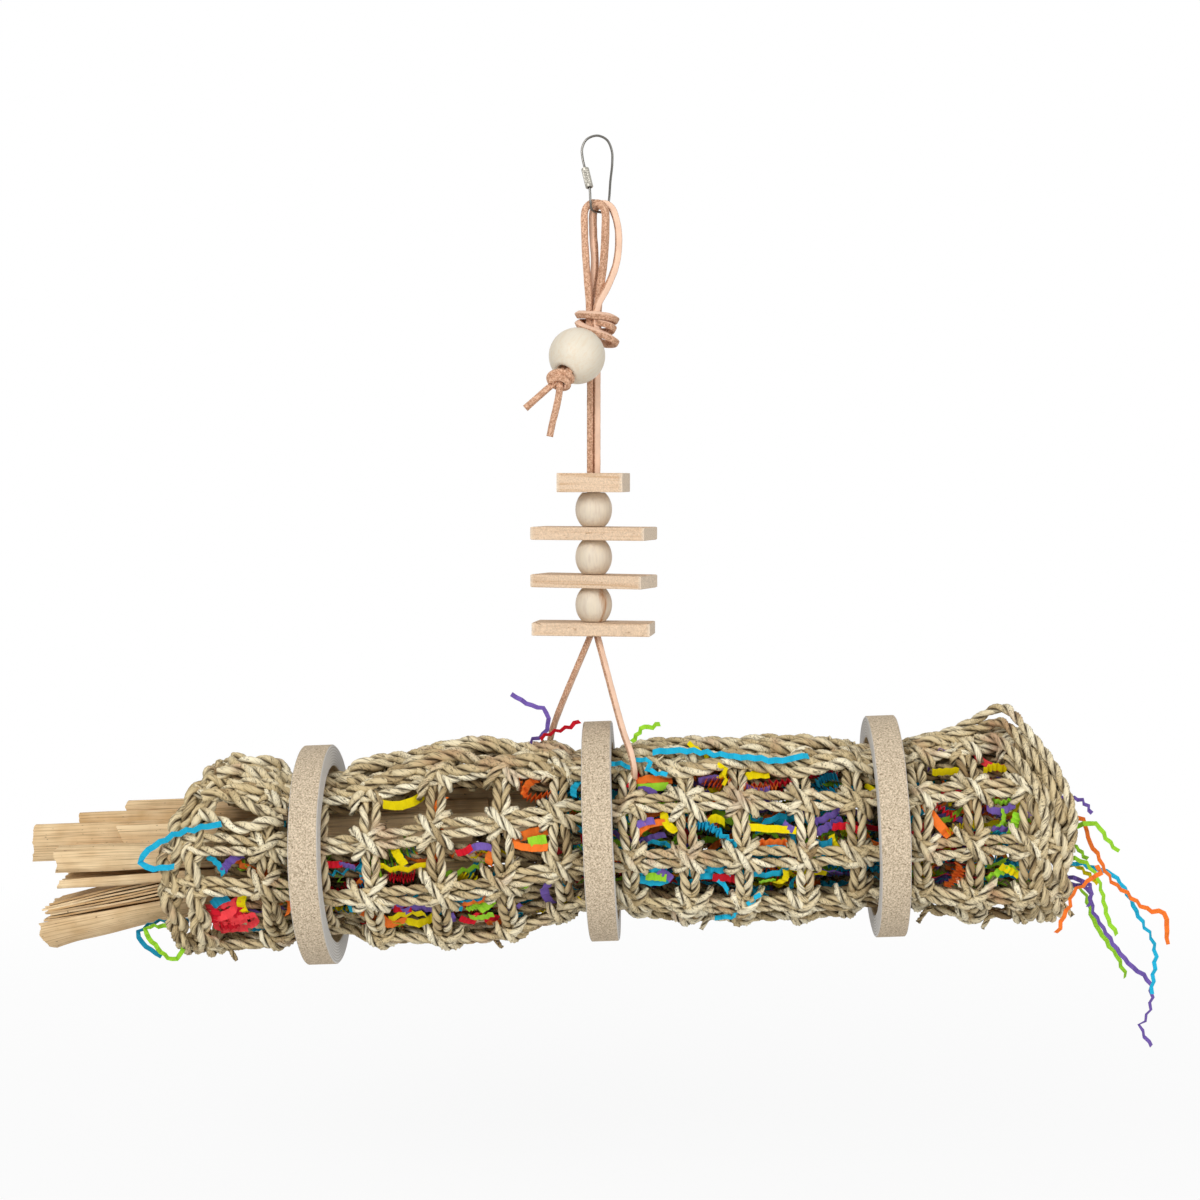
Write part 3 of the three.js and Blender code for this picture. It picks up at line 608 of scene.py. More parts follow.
@dataclass(frozen=True)
class Seagrass(Finish):
    """Twisted seagrass: dry flattened leaves, straw to pale green, with pinkish brown patches, and painted
    shade between the plies.
    """

    shade: str = "#9A8058"
    middle: str = "#D9C497"
    light: str = "#FFF4D4"
    blush: str = "#B98B66"
    # Colour of the painted shade between the plies, also laid over the fibre grooves.
    dark: str = "#3C2A16"
    fibres_round: float = 8.0
    fibre_length: float = 16.0
    patch_size: float = 20.0

    def look(self, add: Adder) -> dict:
        """The UV map runs round and along each ply, so the fibres follow the twist.

        The grain attribute's X is 1 where a ply faces away from its twin and 0 between the plies, where the
        colour is darkened as painted shade.
        """
        run, place = add("UVMap", uv_map="run"), add(**PLACE)
        tone = add(**TONE)
        counts = (self.fibres_round, per_metre(self.fibre_length), 1.0)
        stretched = add("VectorMath", {0: run, 1: counts}, operation="MULTIPLY")
        shifted = add("VectorMath", {0: tone, 1: (37.0, 11.0, 53.0), 2: stretched}, operation="MULTIPLY_ADD")
        fibre = add("TexNoise", {"Vector": shifted, "Scale": 1.0, "Detail": 3.0, "Roughness": 0.65})
        patch = add("TexNoise", {"Vector": place, "Scale": per_metre(self.patch_size), "Detail": 2.0})
        straws = ((0.05, self.shade), (0.45, self.middle), (0.9, self.light))
        straw = add("ValToRGB", {"Fac": tone}, stops=straws)
        blushed = stain(add, straw, self.blush, patch, 0.58, 0.74, 0.7)
        # Dark fibre streaks: partly the leaves' own streaks and partly painted shade in the grooves between
        # fibres.
        fibre_streak_and_shade = add("MapRange", {"Value": fibre, "From Min": 0.5, "From Max": 0.33, "To Max": 0.85})
        # Painted shade between the plies: the colour goes dark where a ply turns toward its twin.
        facing = add("SeparateXYZ", {"Vector": add(**GRAIN)}, out="X")
        crease_painted_shade = add("MapRange", {
            "Value": facing, "From Min": 0.1 * MM, "From Max": 0.5 * MM, "To Min": 0.92, "To Max": 0.0,
        })
        shaded = add("Math", {0: fibre_streak_and_shade, 1: crease_painted_shade}, operation="MAXIMUM")
        streaked_and_painted_shade = add("Mix", {"Factor": shaded, 6: blushed, 7: linear(self.dark)}, out=2, data_type="RGBA")
        return {
            "Base Color": streaked_and_painted_shade, "Roughness": 0.7, "Specular IOR Level": 0.3,
            "Normal": add("Bump", {"Strength": 0.7, "Distance": 0.0006, "Height": fibre}),
        }


@dataclass(frozen=True)
class RingCard(Finish):
    """Wound kraft board: a speckled brown face, and cut ends that show its pale layers."""

    face: str = "#E6D4BA"
    face_dark: str = "#867358"
    fleck: str = "#5F4A33"
    cut: str = "#D8D6D3"
    cut_line: str = "#A39D95"
    layer: float = 1.5
    fleck_size: float = 1.6
    pulp_size: float = 0.9

    def look(self, add: Adder) -> dict:
        """Tone 1 is a cut end. The grain attribute's Y is the distance from the ring's axis."""
        place, cut = add(**PLACE), add(**TONE)
        pulp_scale = {"Scale": per_metre(self.pulp_size), "Detail": 4.0, "Roughness": 0.75}
        pulp = add("TexNoise", {"Vector": place, **pulp_scale})
        fleck = add("TexNoise", {"Vector": place, "Scale": per_metre(self.fleck_size), "Detail": 1.0})
        kraft = stain(add, linear(self.face_dark), self.face, pulp, 0.32, 0.62)
        speckled = stain(add, kraft, self.fleck, fleck, 0.7, 0.76, 0.8)
        depth = add("SeparateXYZ", {"Vector": add(**GRAIN)}, out="Y")
        wander = add("Math", {0: pulp, 1: 0.5 * self.layer * MM, 2: depth}, operation="MULTIPLY_ADD")
        phase = add("Math", {0: wander, 1: 2 * math.pi / (self.layer * MM)}, operation="MULTIPLY")
        wave = add("Math", {0: phase}, operation="SINE")
        layers = stain(add, linear(self.cut), self.cut_line, wave, 0.2, 1.0, 0.8)
        return {
            "Base Color": add("Mix", {"Factor": cut, 6: speckled, 7: layers}, out=2, data_type="RGBA"),
            "Roughness": 0.88, "Specular IOR Level": 0.2,
            "Normal": add("Bump", {"Strength": 0.3, "Distance": 0.0003, "Height": pulp}),
        }


@dataclass(frozen=True)
class DriedHusk(Finish):
    """Dried leaf sheath: tan, with close fibres along it, brown furrows and small pits."""

    pale: str = "#F4DAAF"
    tan: str = "#C8A270"
    furrow: str = "#8C6D4A"
    pit: str = "#5E4430"
    fibre_width: float = 0.7
    patch_size: float = 14.0

    def look(self, add: Adder) -> dict:
        """The grain attribute's X runs along the leaf and Y across it. Tone 1 is a pale leaf."""
        place, tone = add(**GRAIN), add(**TONE)
        fibre = streaks(add, place, (22.0, per_metre(self.fibre_width), 300.0), Detail=4.0, Roughness=0.6)
        patch = add("TexNoise", {"Vector": place, "Scale": per_metre(self.patch_size)})
        pits = streaks(add, place, (350.0, 800.0, 800.0))
        bleach = add("Math", {0: patch, 1: tone}, operation="ADD")
        ground = stain(add, linear(self.tan), self.pale, bleach, 0.6, 1.4)
        furrowed = stain(add, ground, self.furrow, fibre, 0.52, 0.31, 0.75)
        return {
            "Base Color": stain(add, furrowed, self.pit, pits, 0.68, 0.75, 0.8),
            "Roughness": 0.75, "Specular IOR Level": 0.25,
            "Normal": add("Bump", {"Strength": 0.6, "Distance": 0.0005, "Height": fibre}),
        }


@dataclass(frozen=True)
class DyedPaper(Finish):
    """Dyed tissue-weight paper: a matt even colour, faintly mottled by its fibres."""

    colour: str = "#FFFFFF"
    mottle_size: float = 2.2

    def look(self, add: Adder) -> dict:
        """Each strip's tone makes it a little lighter or darker than its neighbours; strips in the front gaps
        get higher tones than the filling inside, as painted light.
        """
        place, tone = add(**PLACE), add(**TONE)
        mottle = add("TexNoise", {"Vector": place, "Scale": per_metre(self.mottle_size), "Detail": 3.0})
        both = add("Math", {0: mottle, 1: tone}, operation="ADD")
        return {
            "Base Color": dapple(add, linear(self.colour)[:3], both, (0.4, 1.6), (0.7, 1.02)),
            "Roughness": 0.85, "Specular IOR Level": 0.2,
        }


class Dye(Enum):
    """The colours of the paper."""

    BLUE = DyedPaper("turquoise_dyed_paper", "blue_paper", "#24BCE2")
    LIME = DyedPaper("lime_dyed_paper", "lime_paper", "#A2DE36")
    ORANGE = DyedPaper("orange_dyed_paper", "orange_paper", "#FA7E2E")
    PURPLE = DyedPaper("purple_dyed_paper", "purple_paper", "#7C62B4")
    TEAL = DyedPaper("teal_dyed_paper", "teal_paper", "#188AAA")
    YELLOW = DyedPaper("yellow_dyed_paper", "shred_paper", "#F2DC00")
    RED = DyedPaper("red_dyed_paper", "shred_paper", "#D8182C")
    CORAL = DyedPaper("coral_dyed_paper", "shred_paper", "#F9484E")


STEEL_CABLE = BareMetal("stainless_steel_cable", "steel_cable", "#6F6D68", (0.18, 0.3))
NICKEL_BARREL = BareMetal("nickel_plated_barrel", "plated_barrel", "#A6A298", (0.28, 0.45))
LACE_LEATHER = LaceLeather("vegetable_tanned_lace", "lace_leather")
SAWN_PINE = SawnPine("rough_sawn_pine", "pine")
WHITEWOOD = TurnedWood("turned_whitewood", "turned_wood")
SEAGRASS = Seagrass("twisted_seagrass", "seagrass")
RING_CARD = RingCard("wound_kraft_board", "ring_card")
HUSK = DriedHusk("dried_leaf_husk", "husk")

# Where the twin strands run, and the tail's bead with the direction of its bore.
STRING_X = -1.8
TAIL_BEAD = np.array([-10.6, -21.0, -118.2])
TAIL_BORE = np.array([-0.461, -0.578, -0.673])


# ---- steel ring and leather lace


@dataclass
class CableRing:
    """Steel cable loop that hangs on a bar, closed by a knurled screw barrel."""

    cable_radius: float = 0.66
    cable_sides: int = 24
    cable_step: float = 0.55
    cable_side: tuple = (0.08, 1.0, 0.05)
    strands: int = 6
    strand_relief: float = 0.05
    cable_lay: float = 9.0
    barrel_radius: float = 2.1
    barrel_length: float = 11.5
    barrel_bore: float = 1.15
    barrel_edge: float = 0.35
    barrel_grid: tuple = (132, 56)
    knurl_relief: float = 0.16
    knurl_count: int = 22
    knurl_pitch: float = 4.2
    knurl_half: float = 3.9
    knurl_fade: float = 0.3
    barrel_centre: tuple = (-5.25, -3.7, -22.3)
    barrel_axis: tuple = (-0.219, 0.298, 0.929)
    end_gap: float = 2.4
    route: tuple = (
        (-7.8, -0.6, -11), (-8, 0, -6), (-5.6, 0, -1.3), (0, 0, 0.8), (5.2, 0, -1.4),
        (7.9, 0.4, -7), (8.2, 1.4, -13.5), (7.2, 3.6, -23), (6.4, 6, -33), (5.2, 4.9, -38.4),
        (3.5, 2.2, -39.9), (1.2, 0, -39.9), (-1.1, -2.2, -39.9), (-2.9, -4.5, -39),
        (-3.5, -6.3, -35.6), (-3.7, -6, -31),
    )

    def cable(self) -> None:
        """Round section with one lobe per strand, turned steadily along the cable."""
        centre, axis = np.array(self.barrel_centre), unit(np.array(self.barrel_axis))
        half, gap = axis * (self.barrel_length / 2), axis * (self.end_gap / 2)
        points = [centre + gap, centre + half, *self.route, centre - half, centre - gap]
        path = smooth_path(points, self.cable_step)
        _, normal, side = frames(path, np.array(self.cable_side))
        run, angle = run_of(path), round_angles(self.cable_sides)
        lobe = np.abs(np.cos(self.strands / 2 * (angle + 2 * np.pi * run[:, None] / self.cable_lay)))
        radius = self.cable_radius * (1 - self.strand_relief * (1 - lobe))
        ring = np.cos(angle)[:, None] * normal[:, None, :] + np.sin(angle)[:, None] * side[:, None, :]
        shell = tubes((path[:, None, :] + radius[..., None] * ring)[None], along=run[None])
        make_piece("steel_cable_loop", [shell], STEEL_CABLE, "cable_ring")

    def barrel(self) -> None:
        """Turned sleeve whose wall is cut with two crossing sets of helical grooves."""
        half, edge, (sides, rows) = self.barrel_length / 2, self.barrel_edge, self.barrel_grid
        wall = np.linspace(-half + edge, half - edge, rows)
        heights = np.concatenate([[-half, -half], wall, [half, half]])
        lip = [self.barrel_bore, self.barrel_radius - edge]
        radii = np.concatenate([lip, np.full(rows, self.barrel_radius), lip[::-1]])
        angle = round_angles(sides)
        turn, slope = self.knurl_count / 2 * angle, 2 * np.pi * wall[:, None] / self.knurl_pitch
        grooves = np.maximum(np.abs(np.sin(turn + slope)), np.abs(np.sin(turn - slope))) ** 6
        plain = np.clip((np.abs(wall) - self.knurl_half) / self.knurl_fade, 0, 1)[:, None]
        radius = np.repeat(radii[:, None], sides, axis=1)
        radius[2:-2] -= self.knurl_relief * grooves * (1 - plain)
        local = turned(radius, angle, heights[:, None])
        grid = local @ axes_to(self.barrel_axis).T + np.array(self.barrel_centre)
        shell = tubes(np.swapaxes(grid, 0, 1)[None, :, ::-1], closed=True)
        make_piece("screw_barrel_sleeve", [shell], NICKEL_BARREL, "screw_barrel", sharp_deg=40)

    def build(self) -> None:
        """Makes the cable and its barrel."""
        self.cable()
        self.barrel()


@dataclass
class LaceHanger:
    """One leather lace: bights over the cable, a wrapped knot, twin strands, a sling and a tail."""

    width: float = 3.55
    squareness: float = 5.0
    sides: int = 20
    pitch: float = 4.41
    strand_width: float = 3.4
    strand_pitch: float = 3.6
    strand_foot: float = -266.6
    sling_width: float = 3.1
    sling_top: float = -268.7
    tail_width: float = 3.0
    knot_top: float = -92.0
    knot_bottom: float = -111.0
    arch_z: float = -40.9
    arch_radius: float = 5.6
    arch_degrees: tuple = (160, 125, 90, 55, 20)
    # Side, middle of the arch, sign of the depth, bulge, crossing, smooth side and twist.
    bights: tuple = (
        ("left", -1.1, -1, 0.0, False, (-0.93, 0.36, 0.0), 30.0),
        ("right", 3.5, 1, 2.4, True, (-0.35, -0.94, 0.0), -50.0),
    )
    # X, how far it stands forward, and height.
    crossing_leg: tuple = ((5.6, 5, -80), (0.4, 7.6, -90), (-0.8, 6.6, -98), (-0.4, 4, -109))
    # Side, sign, smooth side and seed.
    strand_pair: tuple = (("left", -1, (0.2, 0.98, 0.0), 4), ("right", 1, (0.3, -0.95, 0.0), 5))
    wrap_half: tuple = (10.0, 7.6)
    wrap_rise: float = 2.5
    # Degrees round the knot from the front, share of its half width, and height.
    wrap_route: tuple = (
        (-150, 0.8, -97), (-90, 1, -97.2), (-45, 1, -97.6), (0, 1, -98.2), (45, 1, -99),
        (90, 1, -100.2), (150, 1, -100.8), (210, 1, -101.2), (270, 1, -102), (315, 1, -104.6),
        (360, 1, -107.4), (405, 1, -110.2), (450, 1, -112.4), (500, 0.9, -112.8), (540, 0.6, -112),
        (580, 0.35, -114.5), (600, 0.3, -118),
    )
    tuck_route: tuple = (
        (0, 0.7, -101.2), (40, 0.8, -102.8), (80, 0.86, -104.4), (120, 0.86, -105.8), (160, 0.7, -106.4),
    )
    sling_route: tuple = (
        (17.2, -19.4, 60), (20.8, -25.2, 49.5), (22.4, -26.8, 40.5), (21.4, -21, 33.4),
        (17, -10.4, 38.2), (0, 3, 39.6), (-17, 15, 37), (-25, 23.6, 29.6),
        (-27.4, 30.6, 32.4), (-26.8, 32.4, 42), (-23.4, 23.6, 57),
    )
    tail_knot: tuple = (-19.6, -32.3, -131.4)
    tail_bead_height: float = 27.0
    coil_turns: float = 0.9
    coil_half: tuple = (5.2, 4.0)
    coil_rise: float = 3.9
    coil_sway: float = 1.9
    tail_ends: tuple = (
        ("tail_end_left", ((6, 1.5, 5), (0, 0, 0), (-5, -1, -3.6), (-11, -1.6, -8.8), (-18, -2, -15))),
        ("tail_end_right", (
            (0, 0, 0), (-0.2, -2.4, -6.8), (-1.8, -2.7, -15), (-3.7, -2.5, -22.5), (-5.2, -2.4, -29.8),
        )),
    )

    def lace(
        self, path: Array, smooth_side: Array, twist_deg: float = 0.0, seed: int = 0,
        width: float | None = None,
    ) -> Surface:
        """A superellipse, nearly square, carried along a path, its smooth side turning slowly.

        Args:
            path: (n, 3) centreline.
            smooth_side: where the smooth side faces at the start.
            twist_deg: its turn by the end.
            seed: chooses its unevenness.
            width: its width, if not the usual one.

        Returns:
            The lace, with tone 0 on its smooth side and 1 on its suede sides.
        """
        rng = seeded(seed)
        _, normal, side = frames(path, smooth_side)
        run = run_of(path)
        turn = np.radians(twist_deg) * run / run[-1]
        face = np.cos(turn)[:, None] * normal + np.sin(turn)[:, None] * side
        across = -np.sin(turn)[:, None] * normal + np.cos(turn)[:, None] * side
        angle = 2 * np.pi * (np.arange(self.sides) + 0.5) / self.sides
        waves = np.cos(angle), np.sin(angle)
        x, y = (np.sign(wave) * np.abs(wave) ** (2 / self.squareness) for wave in waves)
        half = (width or self.width) / 2 * (1 + 0.03 * ripple(run[None], rng, 5.0, 22.0)[0])
        ring = x[:, None] * face[:, None, :] + y[:, None] * across[:, None, :]
        grid = path[:, None, :] + half[:, None, None] * ring
        suede = ease((0.97 - x) / 0.2)
        return tubes(grid[None], along=run[None], tone=suede[None, None, :])

    def stretch(self, node: str, surfaces: list[Surface], rides: bool = True) -> bpy.types.Object:
        """Makes a stretch of the lace that stands for its node."""
        return make_piece(f"{node}_leather", surfaces, LACE_LEATHER, node, rides=rides)

    def bight(self, arch_x: float, y: float, bulge: float, crossing: bool) -> Array:
        """Route of a bight: up from the knot, over the cable in an arch, and back into the knot.

        Args:
            arch_x: middle of the arch.
            y: depth of the bight.
            bulge: how far the second leg bows out.
            crossing: whether the second leg crosses in front of the other bight.

        Returns:
            The centreline.
        """
        legs, r = self.pitch / 2, self.arch_radius
        arch = [
            (arch_x + r * math.cos(math.radians(a)), y, self.arch_z + r * math.sin(math.radians(a)))
            for a in self.arch_degrees
        ]
        if crossing:
            foot = [(x, y - forward, z) for x, forward, z in self.crossing_leg]
        else:
            foot = [(STRING_X + legs, y, self.knot_top), (STRING_X + legs, y, self.knot_bottom)]
        return smooth_path([
            (STRING_X - legs, y, self.knot_bottom), (STRING_X - legs, y, self.knot_top),
            (arch_x - r + 0.9, y, -68.0), (arch_x - r, y, -50.0), *arch, (arch_x + r + bulge, y, -50.0),
            (arch_x + r + bulge - 0.9, y, -66.0), *foot,
        ], 1.2)

    def hang_loop(self) -> None:
        """Two bights over the cable and the winding that binds their legs."""
        for seed, (side, arch_x, sign, bulge, crossing, face, twist) in enumerate(self.bights, 1):
            path = self.bight(arch_x, sign * self.pitch / 2, bulge, crossing)
            self.stretch(f"lace_bight_{side}", [self.lace(path, np.array(face), twist, seed)])
        wraps = []
        for route in (self.wrap_route, self.tuck_route):
            degrees, share, z = np.array(route, float).T
            a = np.radians(degrees)
            x, y = self.wrap_half[0] * share * np.sin(a), -self.wrap_half[1] * share * np.cos(a)
            winding = smooth_path(np.stack([x, y, z + self.wrap_rise], axis=1), 0.9)
            outward = unit(winding * np.array([1.0, 1.0, 0.0]))
            wraps.append(self.lace(winding, 0.55 * outward + UP, 0.0, 3))
        self.stretch("lace_wrap", wraps)

    def strands(self) -> None:
        """Twin strands from the knot through the stack. They are not attached to a body."""
        for side, sign, face, seed in self.strand_pair:
            x = STRING_X + sign * self.strand_pitch / 2
            path = resample(np.array([(x, 0.0, self.knot_bottom - 0.3), (x, 0.0, self.strand_foot)]), 2.0)
            shell = self.lace(path, np.array(face), 12.0, seed, self.strand_width)
            piece = self.stretch(f"lace_strand_{side}", [shell], rides=False)
            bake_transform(piece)

    def sling(self) -> None:
        """V under the stack, whose feet go through the net and meet under its top rows."""
        route = TUBE.place(np.array(self.sling_route))
        tops = [np.array([STRING_X + s * self.strand_pitch / 2, 0.0, self.sling_top]) for s in (1, -1)]
        path = smooth_path([tops[0], *route, tops[1]], 1.5)
        shell = self.lace(path, np.array([0.5, -0.8, 0.3]), 40.0, 6, self.sling_width)
        self.stretch("lace_sling", [shell])

    def tail(self) -> None:
        """Two lace ends through the large bead, an overhand stopper knot and two cut ends."""
        along, knot = unit(TAIL_BORE), np.array(self.tail_knot)
        aside = unit(np.cross(along, UP))
        half = self.tail_bead_height / 2
        for side, sign, seed in (("left", 1, 7), ("right", -1, 8)):
            middle = TAIL_BEAD + aside * sign * self.pitch / 2
            path = resample(np.array([middle - along * (half + 2.2), middle + along * half]), 2.0)
            self.stretch(f"lace_tail_{side}", [self.lace(path, aside * sign, 0.0, seed)])
        t = np.linspace(-self.coil_turns, self.coil_turns, 110)
        turn = 2 * np.pi * t + 0.6
        tuck = 1 - 0.45 * np.abs(t / self.coil_turns) ** 6
        x, y = self.coil_half[0] * tuck * np.cos(turn), self.coil_half[1] * tuck * np.sin(turn)
        coil = np.stack([x, y, self.coil_rise * t + self.coil_sway * np.sin(turn + 0.8)], axis=1)
        path = coil @ axes_to(TAIL_BORE).T + knot
        loops = self.lace(path, 0.8 * along - unit(path - knot), 0.0, 9, self.tail_width)
        self.stretch("stopper_knot", [loops])
        for seed, (node, route) in enumerate(self.tail_ends, 10):
            path = smooth_path(knot + np.array(route, float), 1.0)
            shell = self.lace(path, np.array([0.6, 0.7, 0.4]), 25.0, seed, self.tail_width)
            self.stretch(node, [shell])

    def build(self) -> None:
        """Makes every stretch of the lace. The free ends come first."""
        self.tail()
        self.hang_loop()
        self.strands()
        self.sling()


# ---- wooden stack


@dataclass
class WoodenStack:
    """Square block, three slats and three beads on the twin strands, and the tail's large bead."""

    hole: float = 9.2
    bevel: float = 0.3
    slat: tuple = (64.5, 25.0, 7.0)
    block: tuple = (35.5, 35.5, 10.3)
    bead: tuple = (20.0, 18.3, 12.3)
    bead_warmth: float = 0.42
    bead_sides: int = 72
    bead_lip: float = 0.5
    tail_bead: tuple = (30.0, 27.0, 13.0)
    # Node, height of the middle, and turn round the strands.
    boards: tuple = (
        ("top_block", -185.35, -7.5), ("slat_upper", -212.9, -18.0), ("slat_middle", -238.8, -22.0),
        ("slat_lower", -264.7, -8.0),
    )
    # Node, height of the middle, and place of a heartwood streak.
    beads: tuple = (
        ("bead_upper", -199.95, None), ("bead_middle", -225.85, None), ("bead_lower", -251.75, 305.0),
    )

    def board(self, size: tuple, centre_z: float, turn_deg: float, seed: int) -> Surface:
        """A board as rays from its hole to its outline: up the hole, out over the top and back below.

        Args:
            size: length, width and thickness.
            centre_z: height of its middle.
            turn_deg: its turn round the strands.
            seed: chooses its timber.

        Returns:
            The board, with tone 1 on its two cut ends.
        """
        rng = seeded(seed)
        length, width, thick = size
        corner = math.atan2(width, length)
        corners = [corner, np.pi - corner, np.pi + corner, 2 * np.pi - corner]
        angle = np.unique(np.concatenate([np.linspace(0, 2 * np.pi, 96, endpoint=False), corners]))
        c, s = np.cos(angle), np.sin(angle)

        def reach(inset: float) -> Array:
            """Distance to the outline, moved in by an inset, along each ray."""
            across = (length / 2 - inset) / np.maximum(np.abs(c), 1e-9)
            return np.minimum(across, (width / 2 - inset) / np.maximum(np.abs(s), 1e-9))

        half, b = thick / 2, self.bevel
        bore, inner, outer = np.full_like(angle, self.hole / 2), reach(b), reach(0.0)
        face = [bore + (inner - bore) * share for share in np.linspace(0.0, 1.0, 6)]
        radii = np.stack([*face, outer, outer, *face[::-1]], axis=1)
        heights = np.array([half] * 6 + [half - b, -half + b] + [-half] * 6)
        local = turned(radii, angle[:, None], heights)
        rough = 0.1 * np.sin(local[..., 0] * 1.9 + rng.uniform(0, 6)) * np.sin(local[..., 2] * 1.3)
        local[..., 1] += rough * (np.abs(local[..., 1]) > width / 2 - 0.1)
        ends = (np.abs(local[..., 0]) > length / 2 - b / 2).astype(float)
        grid = local @ turn_about(2, turn_deg).T + np.array([STRING_X, 0.0, centre_z])
        return tubes(grid[None], closed=True, tone=ends[None], grain=local[None] + rng.uniform(-400, 400, 3))

    def ball(
        self, size: tuple, centre: Array, axis: Array, seed: int, warmth: float = 0.0,
        streak_deg: float | None = None,
    ) -> Surface:
        """A bead: an ellipse cut flat at both ends, turned round its bore.

        Args:
            size: diameter, height and width of the flats.
            centre: its middle.
            axis: direction of its bore.
            seed: chooses its grain.
            warmth: heartwood all over it.
            streak_deg: place of a heartwood streak, if any.

        Returns:
            The bead, with the heartwood in its tone.
        """
        rng = seeded(seed)
        diameter, height, flat = size
        half, cut, lip = height / 2, flat / diameter, self.bead_lip
        pole = half / math.sqrt(1 - cut * cut)
        arc = np.linspace(-1, 1, 33) * math.asin(half / pole)
        bore = [self.hole / 2, self.hole / 2 + lip]
        radii = np.concatenate([bore, diameter / 2 * np.cos(arc), bore[::-1]])
        heights = np.concatenate([[-half + lip, -half], pole * np.sin(arc), [half, half - lip]])
        angle = round_angles(self.bead_sides)[:, None]
        local = turned(radii, angle, heights)
        tone = np.full(local.shape[:2], warmth)
        if streak_deg is not None:
            away = np.abs((np.degrees(angle) - streak_deg + 180) % 360 - 180)
            tone = np.maximum(tone, np.exp(-((away / (15 + 6 * np.sin(heights / 3.0))) ** 2)))
        grid = local @ axes_to(axis).T + centre
        grain = local + rng.uniform(-300, 300, 3)
        return tubes(grid[None, :, ::-1], closed=True, tone=tone[None, :, ::-1], grain=grain[None, :, ::-1])

    def build(self) -> None:
        """Makes the boards and beads from the top down."""
        for seed, (node, z, turn) in enumerate(self.boards, 20):
            size = self.block if node == "top_block" else self.slat
            make_piece(f"{node}_pine", [self.board(size, z, turn, seed)], SAWN_PINE, node, sharp_deg=35)
        balls = {
            node: self.ball(self.bead, np.array([STRING_X, 0.0, z]), UP, seed, self.bead_warmth, streak)
            for seed, (node, z, streak) in enumerate(self.beads, 30)
        }
        balls["tail_bead"] = self.ball(self.tail_bead, TAIL_BEAD, TAIL_BORE, 40)
        for node, shell in balls.items():
            make_piece(f"{node}_whitewood", [shell], WHITEWOOD, node, sharp_deg=50)


# ---- seagrass tube and its rings


@dataclass(frozen=True)
class Tube:
    """The tube's own axes, X along it, and the net's form round them."""

    centre: tuple = (0.0, 0.0, -379.4)
    tilt_deg: float = 2.4
    turn_deg: float = -2.0
    left: float = -238.0
    right: float = 262.0
    radius: float = 43.6
    stations: tuple = (
        (-238, 1.9, -1.5), (-212, 4.6, -2), (-164.75, 0, -4.2), (-139.25, 0, -4.2),
        (-70, 6.9, 0), (-10.05, 0, 3.2), (15.45, 0, 3.2), (80, 1.8, 1.8), (144.25, 0, 0.6),
        (169.75, 0, 0.6), (222, 3.4, 0.5), (262, 5.9, 2),
    )

    def place(self, points: Array) -> Array:
        """Points of the tube in the row frame."""
        turn = turn_about(2, self.turn_deg) @ turn_about(1, -self.tilt_deg)
        return points @ turn.T + np.array(self.centre)

    def form(self, along: Array) -> tuple[Array, Array]:
        """How far the section swells up and down, and its middle's height, eased between stations.

        Args:
            along: places along the tube.

        Returns:
            Swells and heights.
        """
        at, *forms = np.array(self.stations).T
        upper = np.clip(np.searchsorted(at, along), 1, len(at) - 1)
        share = ease((along - at[upper - 1]) / (at[upper] - at[upper - 1]))
        swells, lifts = (form[upper - 1] + (form[upper] - form[upper - 1]) * share for form in forms)
        return swells, lifts

    def point(self, along: Array, angle: Array, offset: Array | float) -> Array:
        """Places on the net: a circle round the tube, swollen up and down.

        Args:
            along: places along the tube.
            angle: angles round it, from the front over the top.
            offset: distances out from the net's middle.

        Returns:
            Points in the tube's axes.
        """
        swells, lifts = self.form(along)
        y = -(self.radius + offset) * np.cos(angle)
        z = lifts + (self.radius + swells + offset) * np.sin(angle)
        return np.stack(np.broadcast_arrays(along, y, z), axis=-1)


TUBE = Tube()
# Each card ring's side, place along the tube and height of its middle.
RINGS = (("left", -152.0, -4.2), ("middle", 2.7, 3.2), ("right", 157.0, 0.6))


